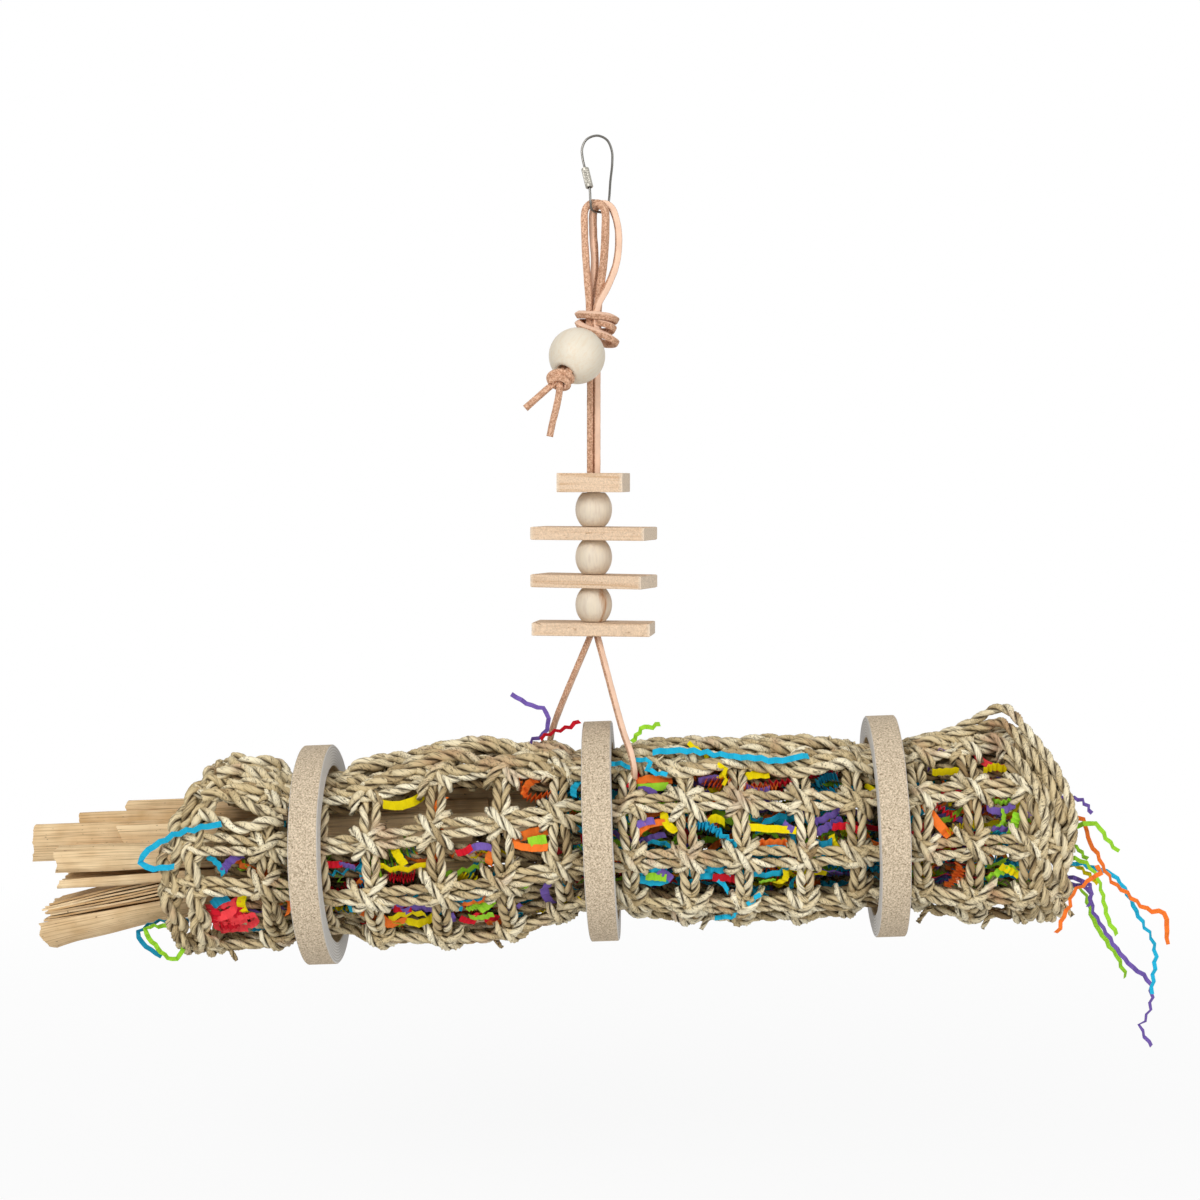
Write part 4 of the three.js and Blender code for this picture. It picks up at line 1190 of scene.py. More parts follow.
@dataclass(frozen=True)
class Rope:
    """Two-ply seagrass rope. Each ply is a flattened leaf bundle that winds round the other."""

    ply_offset: float = 1.25
    ply_out: float = 1.4
    ply_side: float = 1.75
    lay: float = 17.5
    sides: int = 7
    tone: float = 0.5

    def surface(self, path: Array, outward: Array, closed: bool, rng: Rng,
                hand: Array | float = 1.0, taper: float = 0.0) -> Surface:
        """Plies that wind round paths, of uneven thickness.

        Args:
            path: (m, n, 3) middles of m ropes.
            outward: direction away from the tube at each point.
            closed: whether each end joins its start.
            rng: random source.
            hand: 1 or -1, the sense of each rope's twist.
            taper: share by which the ends are thinner.

        Returns:
            Both plies of every rope.
        """
        m, n, _ = path.shape
        _, normal, side = frames(path, outward, closed)
        steps = np.linalg.norm(np.roll(path, -1, axis=1) - path, axis=-1)
        if not closed:
            steps[:, -1] = 0.0
        along = np.cumsum(steps, axis=1) - steps
        length = steps.sum(axis=1, keepdims=True)
        turns = np.round(length / self.lay) if closed else length / self.lay
        winding = 2 * np.pi * turns * hand * along / length + rng.uniform(0, 2 * np.pi, (m, 1))
        winding = np.stack([winding, winding + np.pi])[..., None]
        out = np.cos(winding) * normal + np.sin(winding) * side
        across = np.cos(winding) * side - np.sin(winding) * normal
        both = np.broadcast_to(along, (2, m, n))
        fade = np.ones(n) if not closed else 0.5 - 0.5 * np.cos(round_angles(n))
        uneven = ripple(both, rng, 9.0, 40.0) * fade
        ends = 1 - taper * np.abs(2 * along / length - 1) ** 5
        thick = (ends * (1 + 0.12 * uneven))[..., None, None]
        shade = rng.normal(self.tone, 0.18, (2, m, 1)) + 0.2 * ripple(both, rng, 20.0, 90.0) * fade
        angle = round_angles(self.sides)[:, None]
        ring = self.ply_out * np.cos(angle) * out[..., None, :]
        ring = ring + self.ply_side * np.sin(angle) * across[..., None, :]
        grid = (path + self.ply_offset * ends[..., None] * out)[..., None, :] + thick * ring
        # How far each ply's side turns away from its twin, kept in the grain; the seagrass finish paints
        # shade where it is low, between the plies.
        facing = (0.5 + 0.5 * np.cos(angle)) * ALONG
        return tubes(
            TUBE.place(grid.reshape(2 * m, n, self.sides, 3)), closed, along=both.reshape(2 * m, n),
            tone=np.clip(shade, 0, 1).reshape(2 * m, n, 1), grain=facing,
        )


@dataclass
class SeagrassNet:
    """Knotted mat rolled into a tube: paired hoops and rows, lashed with a cross at each meeting."""

    hoops: tuple = (
        -175, -147, -119.5, -84.1, -48.6, -18, 18.5, 49.6, 78, 111, 138.6, 172.8, 200, 229,
    )
    left_rim: tuple = (-226.5, -214.0)
    right_rim: tuple = (236.0, 245.0)
    rows: int = 9
    row_places: tuple = (-240, -100, -50, 20, 60, 140, 200, 265)
    row_degrees: tuple = (-24, -24, -21, -12, -11, -11, -7, -7)
    # Row, its turn in degrees at the left, where that starts along the tube, and over what length.
    bent_rows: tuple = ((0, 11.0, -140.0, 35.0), (8, -10.0, 5.0, 40.0))
    # How far a mouth's top is moved, where that starts along the tube, and over what length.
    mouth_slants: tuple = ((20.0, -180.0, -55.0), (-16.0, 205.0, 50.0))
    hoop_offset: float = -4.2
    row_offset: float = -1.8
    hoop_half: float = 2.4
    row_half: float = 2.7
    cross_reach: float = 9.6
    ring_room: float = 13.5
    sag: float = 5.0
    sag_room: float = 14.0
    plait_length: float = 60.0
    # Each rope's last number is its tone. Tones rise from the inner turn's 0.25 to the lashings' 0.7: painted
    # shade on the ropes inside the tube and painted light on the outermost ones.
    rope: Rope = Rope()
    row_rope: Rope = Rope(1.3, 1.55, 1.95, 18.5, 7, 0.57)
    rim_rope: Rope = Rope(1.65, 1.95, 2.45, 20.0, 7, 0.52)
    edge_rope: Rope = Rope(1.55, 1.85, 2.3, 21.0, 7, 0.57)
    lashing: Rope = Rope(1.3, 1.6, 2.2, 20.0, 6, 0.7)
    inner_rope: Rope = Rope(1.5, 1.75, 2.4, 20.0, 5, 0.25)
    frayed: Rope = Rope(0.7, 0.8, 1.1, 12.0, 5)
    # Sense, rise over the meeting, depth of the tucked ends and share of the reach.
    lashing_arms: tuple = ((-1.0, 8.2, -6.0, 1.0), (1.0, 6.2, -6.0, 0.9))
    leaning_share: float = 0.82
    # Start and end along the tube, depth, and degrees from the front.
    inner_rows: tuple = (
        (-205, 240, -11, tuple(range(60, 232, 9))),
        (-198, 240, -11, tuple(range(232, 304, 9))),
        (-205, -12, -15, (-52, -43, -8, 2)),
        (-205, -165, -12, (-58, -34, -26, 14, 24, 34)),
    )
    # Start and end along the tube, degrees from the front, and lift.
    edge_lines: tuple = (
        (-222, 150, 60, 1.8), (-140, 150, 69, 2.4), (-215, 238, 78, 2.6),
        (-150, 232, 88, 2.4), (-222, 236, 98, 1.8), (-60, 200, 107, 1.4),
        (36, 150, 54, 0.8), (-132, -24, 65, 2.8), (-138, -12, 84, 4.2),
        (-216, -166, 34, 0.8), (-217, -164, 46, 1.6), (-214, -166, 69, 4.6),
        (-212, -165, 86, 6), (-212, -164, 94, 4), (-212, -164, 78, 1),
        (-214, -164, 55, 1), (-210, -164, 89, 0.5), (-208, -164, 64, 0.4),
        (-208, -164, 72, -1),
    )
    # Places along the tube, degrees from the front, and lift.
    corner_routes: tuple = (
        ((172, 88, 2), (189, 86, 4.5), (204, 85, 9), (221, 83, 16), (233, 78, 17), (241, 66, 12.5),
         (247, 50, 7.5), (250, 30, 4), (251, 10, 2), (249, -12, 1)),
        ((172, 80, 2), (192, 80, 4), (212, 78, 8.5), (226, 74, 11.5), (235, 62, 8.5), (241, 46, 5),
         (244, 28, 3), (245, 6, 1)),
        ((206, 74, 3), (218, 66, 6), (227, 54, 5.5), (233, 38, 4), (236, 20, 3), (236, 2, 2), (234, -14, 1)),
    )
    # Place along the tube, degrees from the front, run along it, swing round it, and rise.
    tuft_places: tuple = (
        (180, -75, -7, -8, 9), (244, -50, 8, -6, 5), (-186, 86, 12, -10, 6), (-21, 82, -7, 10, 6),
        (100, 97, 8, 5, 5), (60, -84, -5, 0, 5), (-60, -80, 6, 4, 5), (136, 92, -8, -6, 6),
        (214, -82, -7, 4, 6), (-205, -70, 5, -6, 6), (30, 60, 8, 5, 5), (-100, 66, -8, 6, 5),
    )
    tuft_root: float = -2.0

    def row_angle(self, along: Array, row: Array | int = 1) -> Array:
        """Angle of a row, which drifts round the tube.

        The first row is pulled up at the left mouth, and the last hangs lower in the left half.

        Args:
            along: places along the tube.
            row: the row's number.

        Returns:
            Angles from the front.
        """
        row = np.asarray(row)
        angle = np.radians(np.interp(along, self.row_places, self.row_degrees))
        for number, degrees, start, reach in self.bent_rows:
            angle = angle + np.where(row == number, np.radians(degrees), 0.0) * ease((start - along) / reach)
        return angle + 2 * np.pi * row / self.rows

    def mouths(self, along: Array, angle: Array) -> Array:
        """Draws the upper side of both mouths back, so that their rims slant.

        Args:
            along: places along the tube.
            angle: angles round it.

        Returns:
            The places, drawn back.
        """
        upper = np.clip(np.sin(angle), 0, 1) ** 2
        moved = along
        for draw, start, reach in self.mouth_slants:
            moved = moved + draw * upper * ease((along - start) / reach)
        return moved

    def from_ring(self, along: Array) -> Array:
        """Distance along the tube to the nearest ring's middle."""
        return np.min([np.abs(along - at) for _, at, _ in RINGS], axis=0)

    def droop(self, along: Array, angle: Array) -> Array:
        """How far the net sags below between the rings, and not under them."""
        free = ease((self.from_ring(along) - self.sag_room) / self.sag_room)
        return self.sag * np.clip(-np.sin(angle), 0, 1) ** 1.5 * free

    def ropes(self, along: Array, angle: Array, offset: Array, closed: bool, rng: Rng,
              rope: Rope, hand: Array | float = 1.0, taper: float = 0.0) -> Surface:
        """Ropes whose middles are given as places along, round and out from the net.

        Args:
            along: places along the tube.
            angle: angles round it.
            offset: distances out from the net's middle.
            closed: whether each end joins its start.
            rng: random source.
            rope: the kind of rope.
            hand: 1 or -1, the sense of each rope's twist.
            taper: share by which the ends are thinner.

        Returns:
            The ropes as one surface.
        """
        along, angle, offset = np.broadcast_arrays(along, angle, offset)
        path = TUBE.point(self.mouths(along, angle), angle, offset + self.droop(along, angle))
        outward = np.stack([np.zeros_like(angle), -np.cos(angle), np.sin(angle)], axis=-1)
        return rope.surface(path, outward, closed, rng, hand, taper)

    def hoop_ropes(self, places: tuple, rng: Rng) -> Surface:
        """Pairs of hoops that dip under each row and swell out between rows.

        Args:
            places: each pair's place along the tube.
            rng: random source.

        Returns:
            The hoops.
        """
        angle = np.linspace(0, 2 * np.pi, 150, endpoint=False)[None, :]
        middle = np.repeat(np.array(places), 2)[:, None]
        side = np.tile([-1.0, 1.0], len(places))[:, None]
        wave = np.cos(self.rows * (angle - self.row_angle(middle)))
        turns = np.repeat(angle, len(middle), 0)
        spread = side * self.hoop_half * (1.05 - 0.12 * wave)
        along = middle + spread + 1.1 * loop_ripple(turns, rng, (2, 3, 5, 7))
        offset = self.hoop_offset - 0.7 * wave + 0.5 * loop_ripple(turns, rng, (4, 6, 11))
        return self.ropes(along, angle, offset, True, rng, self.rope, side)

    def rim_ropes(self, places: tuple, rng: Rng) -> Surface:
        """Rim hoops: pairs that also wind round each other, as a thick edge.

        Args:
            places: each pair's place along the tube.
            rng: random source.

        Returns:
            The hoops.
        """
        angle = np.linspace(0, 2 * np.pi, 160, endpoint=False)[None, :]
        middle = np.repeat(np.array(places), 2)[:, None]
        side = np.tile([0.0, np.pi], len(places))[:, None]
        turn = 7 * angle + side + np.repeat(rng.uniform(0, 6, len(places)), 2)[:, None]
        drift = loop_ripple(np.repeat(angle, len(middle), 0), rng, (2, 3, 4))
        return self.ropes(
            middle + 3.3 * np.cos(turn) + 1.2 * drift, angle, -2.4 + 2.6 * np.sin(turn) + 0.6 * drift,
            True, rng, self.rim_rope,
        )

    def row_ropes(self, rng: Rng) -> Surface:
        """Pairs of rows along the tube.

        Args:
            rng: random source.

        Returns:
            The rows.
        """
        along = np.linspace(-231.0, 247.0, 285)[None, :]
        row = np.repeat(np.arange(self.rows), 2)[:, None]
        side = np.tile([-1.0, 1.0], self.rows)[:, None]
        runs = np.repeat(along, len(row), 0)
        spread = side * self.row_half + 0.9 * ripple(runs, rng, 35.0, 110.0)
        angle = self.row_angle(along, row) + spread / TUBE.radius
        offset = self.row_offset + 0.5 * ripple(runs, rng, 25.0, 70.0)
        return self.ropes(along, angle, offset, False, rng, self.row_rope)

    def crosses(self, rng: Rng) -> Surface:
        """Cross lashings: two short ropes over each meeting, their ends tucked behind.

        Args:
            rng: random source.

        Returns:
            The lashings.
        """
        meetings = np.meshgrid(np.array(self.hoops), np.arange(self.rows), indexing="ij")
        hoop, row = (a.ravel() for a in meetings)
        clear = self.from_ring(hoop) > self.ring_room
        hoop, row = hoop[clear], row[clear]
        count, points = len(hoop), 13
        t = np.linspace(-1.0, 1.0, points)[None, :]
        lean = np.where(rng.random(count) < self.leaning_share, 1.0, -1.0)[:, None]
        reach = self.cross_reach * rng.uniform(0.85, 1.12, (count, 1))
        centre = hoop[:, None] + rng.normal(0, 0.8, (count, 1))
        middle = self.row_angle(hoop, row)[:, None]
        arch = np.cos(np.pi * t / 2) ** 0.6
        parts = []
        for sense, rise, foot, length in self.lashing_arms:
            tilt = sense * lean * rng.uniform(0.85, 1.15, (count, 1))
            bend = 0.8 * rng.normal(0, 1, (count, 1)) * np.cos(np.pi * t / 2)
            swing = reach * length * t
            round_tube = middle + (tilt * swing - bend) / TUBE.radius
            parts.append((centre + swing + bend, round_tube, foot + rise * arch))
        along, angle, offset = (
            np.concatenate([np.broadcast_to(part[i], (count, points)) for part in parts]) for i in range(3)
        )
        press = 2.4 * ease((self.ring_room + 3.0 - self.from_ring(along)) / 5.0)
        return self.ropes(along, angle, offset - press, False, rng, self.lashing, taper=0.4)

    def inner_turn(self, rng: Rng) -> list[Surface]:
        """The mat's inner turn, seen through the gaps, as close rows and half hoops between the outer hoops,
        in a low tone that is painted shade.

        Args:
            rng: random source.

        Returns:
            Its rows and half hoops.
        """
        turns = []
        for start, end, depth, degrees in self.inner_rows:
            along = np.linspace(start, end, 125)[None, :]
            runs = np.repeat(along, len(degrees), 0)
            angle = np.radians(degrees)[:, None] + 0.05 * ripple(runs, rng, 50.0, 150.0)
            offset = depth + 1.3 * ripple(runs, rng, 40.0, 120.0)
            turns.append(self.ropes(along, angle, offset, False, rng, self.inner_rope))
        places = (np.array(self.hoops[1:]) + np.array(self.hoops[:-1]))[:, None] / 2
        angle = np.radians(np.linspace(62.0, 262.0, 64))[None, :]
        sway = loop_ripple(np.repeat(angle, len(places), 0), rng, (3, 4, 7))
        turns.append(self.ropes(places + 2.0 * sway, angle, -15.0 + sway, False, rng, self.inner_rope))
        return turns

    def edges(self, rng: Rng) -> Surface:
        """The mat's overlapped edge on top of the tube: thick ropes that weave over and under.

        Args:
            rng: random source.

        Returns:
            The edge's ropes.
        """
        t = np.linspace(0.0, 1.0, 200)
        lines = []
        for start, end, degrees, lift in self.edge_lines:
            along = start + (end - start) * t
            wander = np.radians(2.6) * ripple(along[None], rng, 50.0, 150.0)[0]
            free = ease((self.from_ring(along) - self.ring_room) / 10.0)
            plait = 2 * np.pi * along / self.plait_length + rng.uniform(0, 2 * np.pi)
            rise = (lift + 1.5 * np.cos(plait)) * free - 1.6 * (1 - free)
            lines.append((along, np.radians(degrees) + wander + np.radians(4.2) * np.sin(plait), rise))
        along, angle, offset = (np.stack(values) for values in zip(*lines))
        return self.ropes(along, angle, offset, False, rng, self.edge_rope)

    def corner(self, rng: Rng) -> list[Surface]:
        """Loose selvedge at the right mouth's top: ropes that rise off the tube and fold down its front.

        Args:
            rng: random source.

        Returns:
            The corner's ropes.
        """
        lines = [smooth_path(route, 2.0).T[:, None] for route in self.corner_routes]
        return [
            self.ropes(along, np.radians(degrees), lift, False, rng, self.row_rope)
            for along, degrees, lift in lines
        ]

    def tufts(self, rng: Rng) -> Surface:
        """Frayed rope ends that stand out of the knots.

        Args:
            rng: random source.

        Returns:
            The tufts.
        """
        along, degrees, run, swing, rise = np.array(self.tuft_places, float).T[:, :, None]
        t = np.linspace(0.0, 1.0, 9)[None, :]
        offset = self.tuft_root + (rise - self.tuft_root) * t**1.4
        return self.ropes(along + run * t, np.radians(degrees + swing * t), offset, False, rng, self.frayed)

    def build(self) -> None:
        """Makes the net as a few pieces, so that none is too heavy."""
        rng = seeded(0)
        half = len(self.hoops) // 2
        pieces = {
            "net_hoops_left": [self.hoop_ropes(self.hoops[:half], rng), self.rim_ropes(self.left_rim, rng)],
            "net_hoops_right": [self.hoop_ropes(self.hoops[half:], rng), self.rim_ropes(self.right_rim, rng)],
            "net_rows": [self.row_ropes(rng)],
            "net_cross_lashings": [self.crosses(rng)],
            "net_overlapped_edge": [self.edges(rng), *self.corner(rng), self.tufts(rng)],
            "net_inner_turn": self.inner_turn(rng),
        }
        for name, surfaces in pieces.items():
            make_piece(name, surfaces, SEAGRASS, "seagrass_net")


@dataclass
class CardRings:
    """Three rings sawn from a thick kraft-board core, pushed over the net."""

    inner: float = 48.2
    wall: float = 11.8
    length: float = 15.5
    bevel: float = 0.5

    def ring(self, along: float, lift: float, seed: int) -> Surface:
        """A rounded oblong profile turned round the tube's axis, its sawn ends a little uneven.

        Args:
            along: place along the tube.
            lift: height of its middle.
            seed: chooses its unevenness.

        Returns:
            The ring, with tone 1 on its cut ends.
        """
        rng = seeded(seed)
        half, b, r, outer = self.length / 2, self.bevel, self.inner, self.inner + self.wall
        end = (self.wall - 2 * b) * np.linspace(0, 1, 7)
        side = np.linspace(-half + b, half - b, 5)
        radii = np.concatenate([np.full(5, outer), outer - b - end, np.full(5, r), r + b + end])
        axial = np.concatenate([side, np.full(7, half), side[::-1], np.full(7, -half)])
        cut = np.concatenate([np.zeros(5), np.ones(7), np.zeros(5), np.ones(7)])
        angle = round_angles(160)[:, None]
        wobble = loop_ripple(angle.T, rng, (2, 3, 5, 9)).T
        radius = radii + 0.12 * wobble * (radii > r + 1)
        x = axial + 0.15 * wobble * np.sign(axial)
        local = np.stack([x, -radius * np.cos(angle), radius * np.sin(angle)], axis=-1)
        grain = np.stack(np.broadcast_arrays(angle * outer, radii, x), axis=-1)
        grid = TUBE.place(local + np.array([along, 0.0, lift]))
        return tubes(grid[None], closed=True, tone=cut[None, None], grain=grain[None])

    def build(self) -> None:
        """Makes the three rings."""
        for seed, (side, along, lift) in enumerate(RINGS, 50):
            node = f"card_ring_{side}"
            make_piece(f"{node}_board", [self.ring(along, lift, seed)], RING_CARD, node, sharp_deg=40)


# ---- husks


@dataclass
class HuskBundle:
    """Dried husk sheets pushed into the left mouth: four flat, one folded, and a roll full of layers."""

    length: float = 230.0
    roll_start: tuple = (-308.0, 0.0, -31.86)
    roll_tilt_deg: float = 4.5
    roll_length: float = 120.0
    roll_half: tuple = (16.0, 14.5)
    layer_count: int = 13
    layer_rise: float = 1.2
    layer_tones: tuple = (0.2, 0.75, 0.45)
    tear_reach: float = 18.0
    droop_reach: float = 70.0
    # Node, left end, section in Y and Z, thickness, slant and tone.
    flats: tuple = (
        ("husk_upper_short", -267, ((3, 15), (2.5, 11), (2.7, 7), (3.2, 3.4)), 1.4, 3, 0.95),
        ("husk_upper_flat", -315, ((7.6, 16.5), (6.7, 10), (6.6, 3), (7.4, -4)), 1.8, -2, 0.58),
        ("husk_back_narrow", -290,
         ((12.8, 18), (12, 20.6), (10.4, 20.6), (9.8, 18), (10.2, 11), (11, 3)), 2, 0, 0.35),
        ("husk_back_wide", -264, ((15.4, 27), (14.4, 20), (14.2, 12), (15, 4)), 1.7, -6, 0.6),
    )
    fold_outer: tuple = (
        (-14.9, -6), (-16.6, -3), (-16.2, 2), (-14, 5.8), (-8, 6.4), (-1.5, 4), (3, -2),
        (2.8, -8), (-1, -12.4), (-7, -14), (-13.5, -14.4), (-16.6, -12), (-15.2, -8),
    )
    fold_inner: tuple = (
        (-12, 2.8), (-7, 3.2), (-2.6, 1), (-0.2, -3.4), (-1.6, -8.4), (-6.5, -11), (-13, -11.2),
    )

    def sheet(
        self, section: tuple, start: float, length: float, thickness: float, seed: int, jag: float = 2.6,
        slant: float = 0.0, tone: float = 0.5, pinch: float = 0.0, rise: float = 0.0, drop: float = 0.0,
        foot: float = 0.0, gape: float = 0.0,
    ) -> Surface:
        """A leaf: a section in Y and Z carried along X, ribbed along its length, with a torn left end.

        Args:
            section: points of the section across the leaf.
            start: X of its left end.
            length: its length.
            thickness: its thickness.
            seed: chooses its ribs and tears.
            jag: how deep the tears are.
            slant: how much further one edge reaches.
            tone: lightness.
            pinch: how far the top comes down at the left end.
            rise: how far the bottom comes up by the mouth.
            drop: how far the bottom hangs lower at the left end.
            foot: how far the left end is cut back at its bottom.
            gape: how far the last lip falls open at the left end.

        Returns:
            The leaf, in the axes of its section.
        """
        rng = seeded(seed)
        line = smooth_path(section, 0.8)
        across = run_of(line)

        def uneven(shortest: float, longest: float, waves: int) -> Array:
            """A smooth random line across the leaf."""
            return ripple(across[None], rng, shortest, longest, waves)[0]

        place = length * np.linspace(0.0, 1.0, 64)[:, None] ** 1.4
        ragged = 0.35 * uneven(5.0, 18.0, 4) + 0.1 * uneven(1.6, 4.0, 4)
        torn = jag * (0.4 + ragged) + slant * across / across[-1]
        normal = unit(np.stack([-np.gradient(line[:, 1]), np.gradient(line[:, 0])], axis=1))
        ribs = 0.06 * uneven(1.4, 4.5, 6) + 0.35 * uneven(8.0, 20.0, 3)
        proud = ribs + 0.4 * ripple(place.T, rng, 40.0, 120.0).T
        high = (line[:, 1] - line[:, 1].min()) / np.ptp(line[:, 1])
        at_end = np.clip(1 - place / self.tear_reach, 0, 1)
        out = np.clip(1 - place / self.droop_reach, 0, 1)
        lip = ease((across / across[-1] - 0.84) / 0.16)
        x = start + place + (torn + foot * (1 - high) ** 4) * at_end
        y = line[:, 0] + normal[:, 0] * proud
        z = line[:, 1] + normal[:, 1] * proud + rise * (1 - out) * (1 - high)
        z = z - out * (pinch * high + drop * (1 - high) + gape * lip)
        middle = np.stack([x, y, z], axis=-1)
        grain = np.stack(np.broadcast_arrays(x, across + seed * 57.0, 0.0), axis=-1)
        return leaf(middle, thickness, tone, grain)

    def husk(self, node: str, surfaces: list[Surface], in_roll: bool = False) -> None:
        """Moves leaves from the axes of the tube, or of the roll, to the row frame and makes the piece.

        Args:
            node: its CAD node.
            surfaces: its leaves.
            in_roll: whether they are in the roll's axes.
        """
        for surface in surfaces:
            if in_roll:
                tilt = turn_about(1, -self.roll_tilt_deg)
                surface.points = surface.points @ tilt.T + np.array(self.roll_start)
            surface.points = TUBE.place(surface.points)
        make_piece(f"{node}_leaf", surfaces, HUSK, node, sharp_deg=50)

    def layer(self, number: int) -> Surface:
        """One of the flat leaves that lie on each other in the roll, tilted up a little more each.

        Args:
            number: its place from the bottom.

        Returns:
            The leaf, in the roll's axes.
        """
        level, half = -9.0 + self.layer_rise * number, 12.0 - 0.2 * abs(number - 4)
        section = tuple(
            (share * half, level + lift)
            for share, lift in ((-1.0, 0.9), (-0.6, 0.2), (0.0, 0.0), (0.7, 0.3), (1.0, 0.8))
        )
        made = self.sheet(
            section, 1.0 + (number * 7) % 5, self.roll_length - 8, 1.05, 80 + number, 2.0, 1.0 - number % 3,
            self.layer_tones[number % 3],
        )
        made.points[:, 2] += 0.011 * number * np.clip(made.points[:, 0] - 8.0, 0.0, 60.0)
        return made

    def build(self) -> None:
        """Makes the seven husks."""
        for seed, (node, start, section, thick, slant, tone) in enumerate(self.flats, 60):
            self.husk(node, [self.sheet(section, start, self.length, thick, seed, slant=slant, tone=tone)])
        # The inner leaf's low tone is painted shade inside the fold, and the outer leaf's tone is lowered a
        # little for the same shade.
        self.husk("husk_folded", [
            self.sheet(self.fold_outer, -297.0, self.length, 1.5, 70, 3.0, 0.8, 0.62, 0.5, gape=3.0),
            self.sheet(self.fold_inner, -294.0, self.length - 8, 0.9, 71, 4.0, -1.0, 0.3, 0.5),
        ])
        arc = np.radians(np.linspace(-190, -4, 16))
        trough = np.stack([np.cos(arc), np.sin(arc)], axis=1) * np.array(self.roll_half)
        wall = self.sheet(
            trough, 0.0, self.roll_length, 1.9, 72, 2.0, -1.0, pinch=5.0, rise=5.0, drop=4.2, foot=5.0,
        )
        self.husk("husk_roll", [wall], in_roll=True)
        self.husk("husk_layers", [self.layer(number) for number in range(self.layer_count)], in_roll=True)


# ---- paper


class Crinkle(Enum):
    """How a strip was crimped: legs, angle of a leg from the strip's run, and how it is rolled."""

    LOOSE = (7, 24.0, 18.0)
    SPRUNG = (9, 46.0, 40.0)
    PACKED = (16, 76.0, 62.0)


